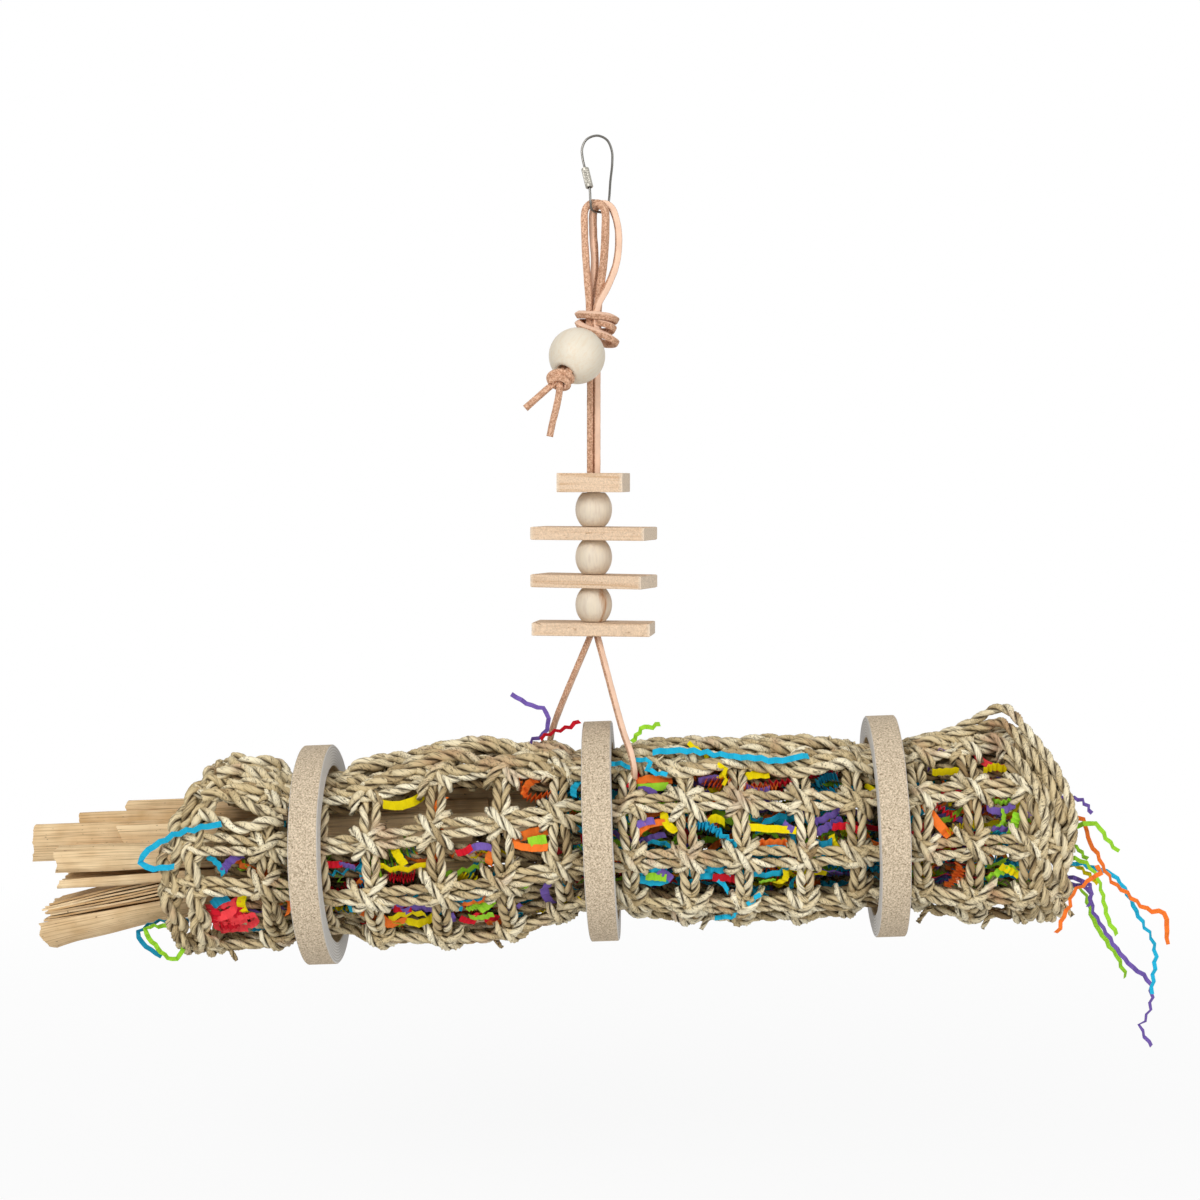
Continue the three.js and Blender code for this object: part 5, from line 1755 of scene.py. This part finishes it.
# Strips that show in the front gaps: place along the tube, height, lie in degrees and length.
SHOWN = (
    (Dye.BLUE, Crinkle.LOOSE, (
        (-128, -28, 10, 12), (-46, -38, 0, 10), (-166, 23, 75, 13), (-202, -1, -50, 13), (-105, -24, 4, 20),
        (-71, -24, 4, 22), (-78, -30, -20, 11), (-27, 43, -20, 12), (-9, 32, 70, 12), (32, 43, -32, 23),
        (94, -3, 0, 14), (30, -12, 4, 16), (30, -19, -8, 18), (59, -21, -12, 24), (92, -16, 6, 21),
        (69, -38, 5, 19), (83, -32, 52, 20),
    )),
    (Dye.BLUE, Crinkle.PACKED, ((59, 9, -10, 15),)),
    (Dye.BLUE, Crinkle.SPRUNG, ((67, 6, -36, 21), (60, -14, 0, 23))),
    (Dye.CORAL, Crinkle.LOOSE, (
        (-199, -40, 6, 16), (-189, -37, 30, 13), (-205, -36, 60, 13), (-201, -24, 16, 20),
        (-192, -31, 12, 17), (-197, -34, 4, 15), (-202, -28, 18, 19), (217, 37, -16, 28),
    )),
    (Dye.CORAL, Crinkle.PACKED, ((-193, -32, 10, 13),)),
    (Dye.LIME, Crinkle.LOOSE, (
        (-63, -36, 12, 14), (-106, -41, 10, 8), (-30, 6, 8, 10), (-112, -40, 70, 9), (-60, -30, 45, 13),
        (-39, -18, 50, 9), (32, 31, 2, 17), (40, 38, -60, 9), (32, -16, -8, 11), (91, -21, 10, 9),
        (215, 9, 75, 10), (189, -38, 15, 11),
    )),
    (Dye.LIME, Crinkle.PACKED, ((120, 38, -10, 13), (175, 42, 5, 13))),
    (Dye.LIME, Crinkle.SPRUNG, ((-67, -30, 30, 9), (217, 18, 5, 12), (221, 6, 70, 12), (214, -21, 30, 17))),
    (Dye.ORANGE, Crinkle.LOOSE, (
        (-112, -37, -35, 15), (-57, -42, 10, 10), (-168, -24, -60, 14), (-35, 9, 15, 21), (-34, 3, -8, 19),
        (-55, -2, 60, 9), (-124, -31, 40, 10), (-119, -38, -48, 14), (-63, -25, 12, 20), (-42, -21, 45, 9),
        (-83, 22, 82, 18), (-113, -48, 20, 10), (31, 34, 4, 23), (30, 11, 24, 17), (181, 9, -55, 21),
        (213, -46, -15, 18),
    )),
    (Dye.ORANGE, Crinkle.PACKED, (
        (-32, 31, -25, 20), (63, 37, 20, 21), (66, 33, -20, 17), (89, 28, 0, 19), (190, -21, 70, 17),
    )),
    (Dye.ORANGE, Crinkle.SPRUNG, ((-33, 34, 50, 16), (94, 0, 0, 16))),
    (Dye.PURPLE, Crinkle.LOOSE, (
        (-97, -31, 4, 18), (-46, -33, 30, 12), (-171, 26, 80, 9), (-61, 3, 5, 13), (-105, -28, 6, 26),
        (-26, -25, 86, 21), (-132, -4, -15, 9), (29, 29, -20, 11), (62, 33, 10, 11), (87, 27, -10, 14),
        (27, 13, 15, 11), (104, 8, -30, 9), (37, -15, -40, 9), (215, 14, 6, 15), (229, 11, -50, 11),
    )),
    (Dye.PURPLE, Crinkle.SPRUNG, (
        (-194, 0, 40, 14), (-81, -39, 75, 20), (125, 14, 25, 21), (124, 8, 25, 16), (128, -39, 60, 10),
        (189, 38, 18, 22), (217, 1, -30, 16),
    )),
    (Dye.RED, Crinkle.LOOSE, (
        (-207, -30, 70, 14), (-196, -27, 20, 14), (-71, -39, -40, 10), (-58, -38, -40, 9),
        (-127, -41, 60, 9), (-69, 2, 20, 9), (-105, -30, 0, 10), (-76, -28, -28, 14), (-63, -37, -55, 11),
        (-139, -3, 0, 9), (22, 34, 70, 13), (68, -19, -8, 12),
    )),
    (Dye.RED, Crinkle.PACKED, ((-103, -11, 0, 14), (95, 30, 8, 25), (184, 14, -35, 18))),
    (Dye.RED, Crinkle.SPRUNG, ((-200, -36, 0, 11), (123, 34, 5, 16), (133, 7, -10, 14))),
    (Dye.TEAL, Crinkle.LOOSE, (
        (-106, -25, 4, 16), (-68, -26, 5, 22), (-189, -41, 0, 12), (-202, -21, 30, 11), (121, -1, 0, 9),
        (221, -21, -70, 9),
    )),
    (Dye.TEAL, Crinkle.PACKED, ((125, 31, 20, 12),)),
    (Dye.YELLOW, Crinkle.LOOSE, (
        (-98, -39, 8, 17), (-18, -36, 48, 20), (-190, -24, 84, 13), (-102, 28, 14, 23), (-104, -5, -6, 28),
        (-104, 0, -60, 11), (-103, -34, 10, 21), (-16, -32, 48, 23), (70, 37, 84, 13), (60, 49, -36, 27),
        (88, 34, 5, 13), (40, 13, -58, 13), (65, 13, 0, 9), (93, 8, -6, 28), (127, -1, -60, 9),
        (99, -19, 60, 11), (101, -38, 80, 9), (188, 32, 2, 14),
    )),
    (Dye.YELLOW, Crinkle.PACKED, ((129, 37, 5, 14), (193, 5, 15, 15))),
    (Dye.YELLOW, Crinkle.SPRUNG, ((-32, -36, 0, 14), (214, 33, 0, 12), (220, -20, -35, 15))),
)


# Ends of the filling that stray out of the net: length of a crimp's leg, depth at both ends, and places
# along and up.
STRAYS = (
    (Dye.YELLOW, 3.2, (-14, -37), ((52.2, 51.4), (59.4, 46.6), (64.4, 42.3), (70.6, 40.3), (70.2, 31.7))),
    (Dye.BLUE, 3.2, (-22, -38), ((63, -42.5), (70, -41), (77, -38.5), (81, -33), (86, -27))),
    (Dye.BLUE, 3.4, (-24, -25), ((9.5, 43.6), (13.5, 43.2), (17.5, 42.4), (20.5, 40.2))),
    (Dye.BLUE, 3.2, (-23, -34), ((23.4, 44.3), (31.9, 44.2), (28.8, 41.2), (34, 38.8), (39.6, 37.6))),
    (Dye.RED, 3.0, (-14, -14), ((-6.5, 66.3), (-11.5, 62.7), (-19.2, 60.8), (-28, 57.4))),
    (Dye.LIME, 2.4, (-20, -20), ((21.8, 54.1), (28.5, 62), (31.8, 61.8), (37.2, 63.3))),
    (Dye.LIME, 2.6, (-24, -24), (
        (-234, -36), (-245.9, -37.6), (-238.4, -50.5), (-231, -55.1), (-225.7, -48.7))),
    (Dye.PURPLE, 2.2, (-10, -10), ((250, 14), (261.5, 12.4), (267.7, 5.1))),
    (Dye.LIME, 2.4, (-10, -10), ((246, -10), (257.1, -12.5), (264.4, -19.8))),
    (Dye.YELLOW, 2.6, (-15, -15), ((247, -20), (259.5, -23.6), (268.9, -32.6))),
    (Dye.PURPLE, 2.6, (-20, -20), ((250, -26), (263.5, -32.4), (262.7, -43.8))),
)


def band(path: Array, side: Array, deep: Array) -> Array:
    """Corners of a strip's thin section: the path, less and plus a half width and a half thickness."""
    return np.stack([path - side - deep, path + side - deep, path + side + deep, path - side + deep], axis=-2)


@dataclass
class PaperShreds:
    """Crinkle-cut paper: a filling of loose strips, and single strips that come out of the net."""

    width: float = 3.3
    single_width: float = 2.6
    flat_width: float = 3.3
    thickness: float = 0.22
    right_count: int = 420
    left_count: int = 90
    dye_share: tuple = (0.23, 0.15, 0.15, 0.18, 0.08, 0.11, 0.07, 0.03)
    crinkle_share: tuple = ((Crinkle.LOOSE, 0.45), (Crinkle.SPRUNG, 0.3), (Crinkle.PACKED, 0.25))
    shown_depth: float = -4.4
    shown_width: float = 4.6
    shown_to_front: float = 0.65
    root_along: float = 240.7
    root_lift: float = -2.5
    root_half: tuple = (33.3, 32.8)
    # Node, dye, degrees of the root, and route from the right mouth.
    hanging_strips: tuple = (
        ("strip_orange_long", Dye.ORANGE, 15, (
            (-3, -26, 5), (1, -26, -9), (5, -26, -15), (11, -26, -28), (21, -26, -37), (32, -26, -46),
            (39, -26, -47), (40, -26, -64))),
        ("strip_green_short", Dye.LIME, -3, ((-5, -33, 3), (3, -33, 3), (9, -33, -6), (14, -33, -12))),
        ("strip_lime_upper", Dye.LIME, -22, (
            (-4, -30, -17), (3, -31, -25), (6, -31, -37), (9, -31, -50), (13, -31, -57))),
        ("strip_blue_long", Dye.BLUE, -42, (
            (-4, -20, -20), (4, -20, -23), (14, -20, -27), (22, -20, -39), (28, -20, -52), (35, -20, -66),
            (34, -20, -82), (33, -20, -92))),
        ("strip_purple_long", Dye.PURPLE, -65, (
            (1, -13, -35), (5, -12, -49), (11, -12, -60), (16, -12, -68), (23, -12, -77), (28, -12, -82),
            (34, -12, -89), (32, -12, -106), (28, -12, -112), (34, -12, -123))),
        ("strip_lime_lower", Dye.LIME, -85, (
            (0, -2, -37.5), (5, -3, -51), (11, -4, -64), (19, -4, -76), (23, -4, -87))),
    )
    # Node, dye, where its route starts along the tube, and route from there.
    curled_strips: tuple = (
        ("strip_orange_short", Dye.ORANGE, TUBE.right, (
            (1.6, -38.5, -18.5), (2.5, -44, -20.5), (-4, -48, -23), (-12, -48, -29), (-16, -48, -38),
            (-22, -48, -51))),
        ("strip_teal_left", Dye.TEAL, TUBE.left, (
            (16, -23.5, -33.8), (-3, -22.5, -34.4), (-13, -23, -40), (-9, -23, -47), (-0.5, -23, -53))),
        ("strip_purple_top", Dye.PURPLE, 0.0, (
            (-44, 4, 80), (-36, 4, 74.5), (-25, 3, 69.5), (-26, 0, 58.5), (-34, -4.5, 54),
            (-36.5, -5.8, 47))),
    )
    # Node, lift off the net, and places along the tube with degrees from the front.
    lying_strips: tuple = (
        ("strip_blue_left", 5.2, ((-197, 28), (-222, 21), (-234, 14), (-240, 7), (-235, 2), (-222, 2))),
        ("strip_blue_front", 7.4, (
            (32.7, 64), (54.7, 62), (72.7, 57), (88.7, 53), (102.7, 53), (115.7, 57))),
    )

    def strips(
        self, middle: Array, run: Array, out: Array, length: Array, crinkle: Crinkle, rng: Rng,
        width: float,
    ) -> Array:
        """Zigzag ribbons: each leg steps along the run and swings to the other side of it.

        Args:
            middle: (m, 3) middle points.
            run: (m, 3) direction of each strip.
            out: (m, 3) direction away from the tube's axis.
            length: (m,) how far it reaches.
            crinkle: how it was crimped.
            rng: random source.
            width: the paper's width.

        Returns:
            (m, n, 4, 3) corners of the ribbons' sections.
        """
        count = len(middle)
        legs, lean_deg, roll_deg = crinkle.value
        lean = np.radians(lean_deg * rng.uniform(0.85, 1.1, count))
        roll = np.radians(roll_deg + rng.normal(0, 16.0, count))[:, None]
        flat = unit(np.cross(out, run))
        across = np.cos(roll) * flat + np.sin(roll) * out
        fold = unit(np.cross(run, across))
        i = np.arange(legs + 1)
        share = (i / legs - 0.5)[None, :, None]
        uneven = np.cumsum(rng.uniform(0.6, 1.4, (count, legs + 1)), axis=1)
        uneven = (uneven - uneven[:, :1]) / (uneven[:, -1:] - uneven[:, :1]) - 0.5
        swing = length / legs * np.tan(lean) / 2
        swing = swing[:, None] * rng.uniform(0.6, 1.3, (count, legs + 1)) * np.where(i % 2, 1.0, -1.0)
        bend = flat * rng.normal(0, 0.16, (count, 1)) * length[:, None]
        path = middle[:, None] + run[:, None] * (uneven * length[:, None])[..., None]
        path = path + fold[:, None] * swing[..., None] + bend[:, None] * (4 * share**2 - 0.5)
        side = across[:, None] * (width * rng.uniform(0.8, 1.2, count))[:, None, None] / 2
        return band(path, side, fold[:, None] * self.thickness / 2)

    def lay(
        self, along: Array, angle: Array, radius: Array, lie: Array, length: Array, crinkle: Crinkle,
        rng: Rng, to_front: float = 0.0, width: float | None = None,
    ) -> Array:
        """Strips lying round the tube's axis.

        Args:
            along: places along the tube.
            angle: angles round it.
            radius: distances from its axis.
            lie: turns from the tube's run.
            length: how far they reach.
            crinkle: how they were crimped.
            rng: random source.
            to_front: share by which their faces turn to the front.
            width: the paper's width, if not the usual one.

        Returns:
            Ribbons in the row frame.
        """
        none = np.zeros_like(angle)
        out = np.stack([none, -np.cos(angle), np.sin(angle)], axis=1)
        round_tube = np.stack([none, np.sin(angle), np.cos(angle)], axis=1)
        run = np.cos(lie)[:, None] * ALONG + np.sin(lie)[:, None] * round_tube
        middle = TUBE.point(along, angle, 0.0) - out * (TUBE.radius - radius)[:, None]
        facing = unit((1 - to_front) * out + to_front * np.array([0.0, -1.0, 0.1]))
        return TUBE.place(self.strips(middle, run, facing, length, crinkle, rng, width or self.width))

    def strewn(
        self, rng: Rng, crinkle: Crinkle, count: int, stretch: tuple, depth: tuple, turn: tuple
    ) -> Array:
        """Strips strewn through a stretch of the tube, mostly along it.

        Args:
            rng: random source.
            crinkle: how they were crimped.
            count: number of strips.
            stretch: its start and end.
            depth: least and greatest distance from the axis.
            turn: least and greatest degrees from the front.

        Returns:
            Ribbons in the row frame.
        """
        length = rng.uniform(14.0, 30.0, count)
        along = rng.uniform(stretch[0] + 15.0, stretch[1] - 15.0, count)
        angle = np.radians(rng.uniform(*turn, count))
        radius = np.sqrt(rng.uniform(depth[0] ** 2, depth[1] ** 2, count))
        return self.lay(along, angle, radius, rng.normal(0, 0.55, count), length, crinkle, rng)

    def filling(self) -> None:
        """Fills the tube: densely from its middle to its right end, thinly under the husks."""
        rng = seeded(90)
        share = np.array(self.dye_share)
        shells: dict[Dye, list[Surface]] = {dye: [] for dye in Dye}
        for crinkle, part in self.crinkle_share:
            right, left = int(self.right_count * part), int(self.left_count * part)
            ribbons = np.concatenate([
                self.strewn(rng, crinkle, right, (-30.0, 246.0), (18.0, 33.0), (-180, 180)),
                self.strewn(rng, crinkle, left, (-215.0, -30.0), (29.0, 34.5), (-115, 5)),
            ])
            picked = rng.choice(len(share), len(ribbons), p=share / share.sum())
            for number, dye in enumerate(Dye):
                chosen = ribbons[picked == number]
                shells[dye].append(tubes(chosen, tone=rng.uniform(0.2, 0.8, len(chosen))[:, None, None]))
        for dye, crinkle, rows in SHOWN:
            along, height, lie, length = np.array(rows, float).T
            swells, lifts = TUBE.form(along)
            reach = TUBE.radius + swells + self.shown_depth
            angle = np.arcsin(np.clip((height - lifts) / reach, -0.985, 0.985))
            radius = TUBE.radius + self.shown_depth + rng.uniform(-1.0, 1.0, len(along))
            ribbons = self.lay(
                along, angle, radius, np.radians(lie), length, crinkle, rng, self.shown_to_front,
                self.shown_width,
            )
            # Painted light: the shown strips get tones of 0.4 to 0.9, against 0.2 to 0.8 for the filling
            # inside the tube.
            shells[dye].append(tubes(ribbons, tone=rng.uniform(0.4, 0.9, len(along))[:, None, None]))
        for seed, (dye, leg, depths, route) in enumerate(STRAYS, 130):
            along, height = np.array(route, float).T
            points = np.stack([along, np.linspace(*depths, len(route)), height], axis=1)
            shells[dye].append(self.ribbon(points, seed, leg, 0.35 * leg))
        for dye, surfaces in shells.items():
            name = f"paper_shreds_{dye.name.lower()}"
            make_piece(name, surfaces, dye.value, "paper_fill", "paper_bed", sharp_deg=0)

    def ribbon(
        self, route: Array, seed: int, leg: float = 3.4, swing: float = 0.85, flat: bool = False
    ) -> Surface:
        """One strip along a route of the tube, crimped all along it.

        Args:
            route: points of the tube.
            seed: chooses how it rolls.
            leg: length of a leg.
            swing: how far each fold stands off the route.
            flat: whether it is wide and lies with its face to the front.

        Returns:
            The strip in the row frame.
        """
        rng = seeded(seed)
        path = smooth_path(route, leg)
        i = np.arange(len(path))
        _, normal, side = frames(path, np.array([0.05, -1.0, 0.1]))
        roll = (0.35 if flat else 0.45) + 0.45 * ripple(i[None].astype(float), rng, 8.0, 26.0)[0][:, None]
        across = np.cos(roll) * side + np.sin(roll) * normal
        fold = np.cross(unit(np.gradient(path, axis=0)), across)
        sway = (swing * rng.uniform(0.6, 1.3, len(i)) * np.where(i % 2, 1.0, -1.0))[:, None]
        middle = path + fold * sway + across * swing * rng.normal(0, 0.3, (len(i), 1))
        wide = across * (self.flat_width if flat else self.single_width) / 2
        grid = band(middle, -wide, fold * self.thickness / 2)
        return tubes(TUBE.place(grid)[None], tone=rng.uniform(0.4, 0.8))

    def single(self, node: str, dye: Dye, shell: Surface) -> None:
        """Makes a strip that stands for its CAD node."""
        make_piece(f"{node}_paper", [shell], dye.value, node, sharp_deg=0)

    def hanging(self) -> None:
        """Strips that hang out of the right mouth, each from a root on the filling."""
        for seed, (node, dye, root, route) in enumerate(self.hanging_strips, 100):
            angle = math.radians(root)
            y, z = -self.root_half[0] * math.cos(angle), self.root_lift + self.root_half[1] * math.sin(angle)
            points = np.array(route, float) + TUBE.right * ALONG
            self.single(node, dye, self.ribbon(np.vstack([(self.root_along, y, z), points]), seed))

    def curled(self) -> None:
        """Strips that curl out of the net and lie on it."""
        for seed, (node, dye, start, route) in enumerate(self.curled_strips, 110):
            points = np.array(route, float) + start * ALONG
            self.single(node, dye, self.ribbon(points, seed))
        for seed, (node, lift, route) in enumerate(self.lying_strips, 113):
            along, degrees = np.array(route, float).T
            points = TUBE.point(along, np.radians(degrees), lift)
            self.single(node, Dye.BLUE, self.ribbon(points, seed, 3.8, 1.4, True))

    def build(self) -> None:
        """Makes the filling and the single strips."""
        self.filling()
        self.hanging()
        self.curled()


# ---- studio


@dataclass
class Studio:
    """Pale floor, white surround, soft lamps and the camera at the photograph's angle."""

    camera_place: tuple = (0.0016, -1.090, -0.1828)
    camera_pitch_deg: float = 3.49
    lens: float = 60.1
    floor_z: float = -0.62
    floor_half: float = 4.0
    surround_light: float = 0.3
    lamps: tuple = (
        ("key_softbox", (-0.8, -1.5, 0.6), 0.9, 20.0),
        ("fill_softbox", (1.2, -1.3, 0.1), 1.2, 12.0),
        ("top_softbox", (0.0, 0.2, 1.3), 1.4, 5.0),
    )
    white_from: float = 1.2
    aim: tuple = (0.0, 0.0, -0.3)
    floor_corners: tuple = ((-1, -1), (1, -1), (1, 1), (-1, 1))

    def camera(self) -> None:
        """Camera level with the stack, tipped down a little."""
        data = bpy.data.cameras.new("photo_camera")
        data.lens, data.sensor_width = self.lens, 36.0
        data.clip_start, data.clip_end = 0.05, 30.0
        camera = add_object("photo_camera", data)
        camera.location = self.camera_place
        camera.rotation_euler = (math.radians(90.0 - self.camera_pitch_deg), 0.0, 0.0)
        bpy.context.scene.camera = camera

    def lights(self) -> None:
        """Large square lamps turned to the toy."""
        for name, place, size, power in self.lamps:
            data = bpy.data.lights.new(name, "AREA")
            data.size, data.energy = size, power
            lamp = add_object(name, data)
            back = unit(np.array(place) - np.array(self.aim))
            lamp.location = place
            lamp.rotation_euler = (math.acos(back[2]), 0.0, math.atan2(back[1], back[0]) + math.pi / 2)

    def seen(self, add: Adder) -> Socket:
        """1 where the camera, a gloss or glass looks, and 0 for light that falls on the toy."""
        rays = [add("LightPath", out=f"Is {kind} Ray") for kind in ("Camera", "Glossy", "Transmission")]
        either = add("Math", {0: rays[0], 1: rays[1]}, operation="MAXIMUM")
        return add("Math", {0: either, 1: rays[2]}, operation="MAXIMUM")

    def surround(self) -> None:
        """White where it is looked at, and a softer light on the toy."""
        world = bpy.data.worlds.new("white_surround")
        add = adder(world)
        strength = add("MapRange", {"Value": self.seen(add), "To Min": self.surround_light, "To Max": 1.0})
        light = add("Background", {"Color": (1.0, 1.0, 1.0, 1.0), "Strength": strength})
        add("OutputWorld", {"Surface": light})
        bpy.context.scene.world = world

    def floor(self) -> None:
        """A plain pale sweep below the toy. It looks white, and keeps a soft share of the shadow."""
        mesh = bpy.data.meshes.new("floor")
        corners = [(x * self.floor_half, y * self.floor_half, self.floor_z) for x, y in self.floor_corners]
        mesh.from_pydata(corners, [], [(0, 1, 2, 3)])
        paint = bpy.data.materials.new("matt_white_paint")
        add = adder(paint)
        matt = add("BsdfDiffuse", {"Color": (0.9, 0.9, 0.9, 1.0)})
        white = add("Emission", {"Color": (1.0, 1.0, 1.0, 1.0), "Strength": 1.0})
        place = add(**PLACE)
        away = add("VectorMath", {0: place, 1: (0.0, 0.0, self.floor_z)}, out="Value", operation="DISTANCE")
        bright = add("MapRange", {
            "Value": away, "From Min": 0.2, "From Max": self.white_from, "To Min": 0.88,
        })
        share = add("Math", {0: self.seen(add), 1: bright}, operation="MULTIPLY")
        add("OutputMaterial", {"Surface": add("MixShader", {0: share, 1: matt, 2: white})})
        mesh.materials.append(paint)
        add_object("floor", mesh)

    def build(self) -> None:
        """Sets the camera, lamps, surround and floor, and a plain view of colours."""
        bpy.context.scene.view_settings.view_transform = "Standard"
        self.camera()
        self.lights()
        self.surround()
        self.floor()


def main() -> None:
    """Builds the studio and every sub-assembly in order."""
    logging.basicConfig(level=logging.INFO, format="%(message)s")
    for part in (
        Studio(), LaceHanger(), CableRing(), WoodenStack(), SeagrassNet(), CardRings(), HuskBundle(),
        PaperShreds(),
    ):
        part.build()
        LOG.info("%s built", type(part).__name__)


if __name__ == "__main__":
    main()
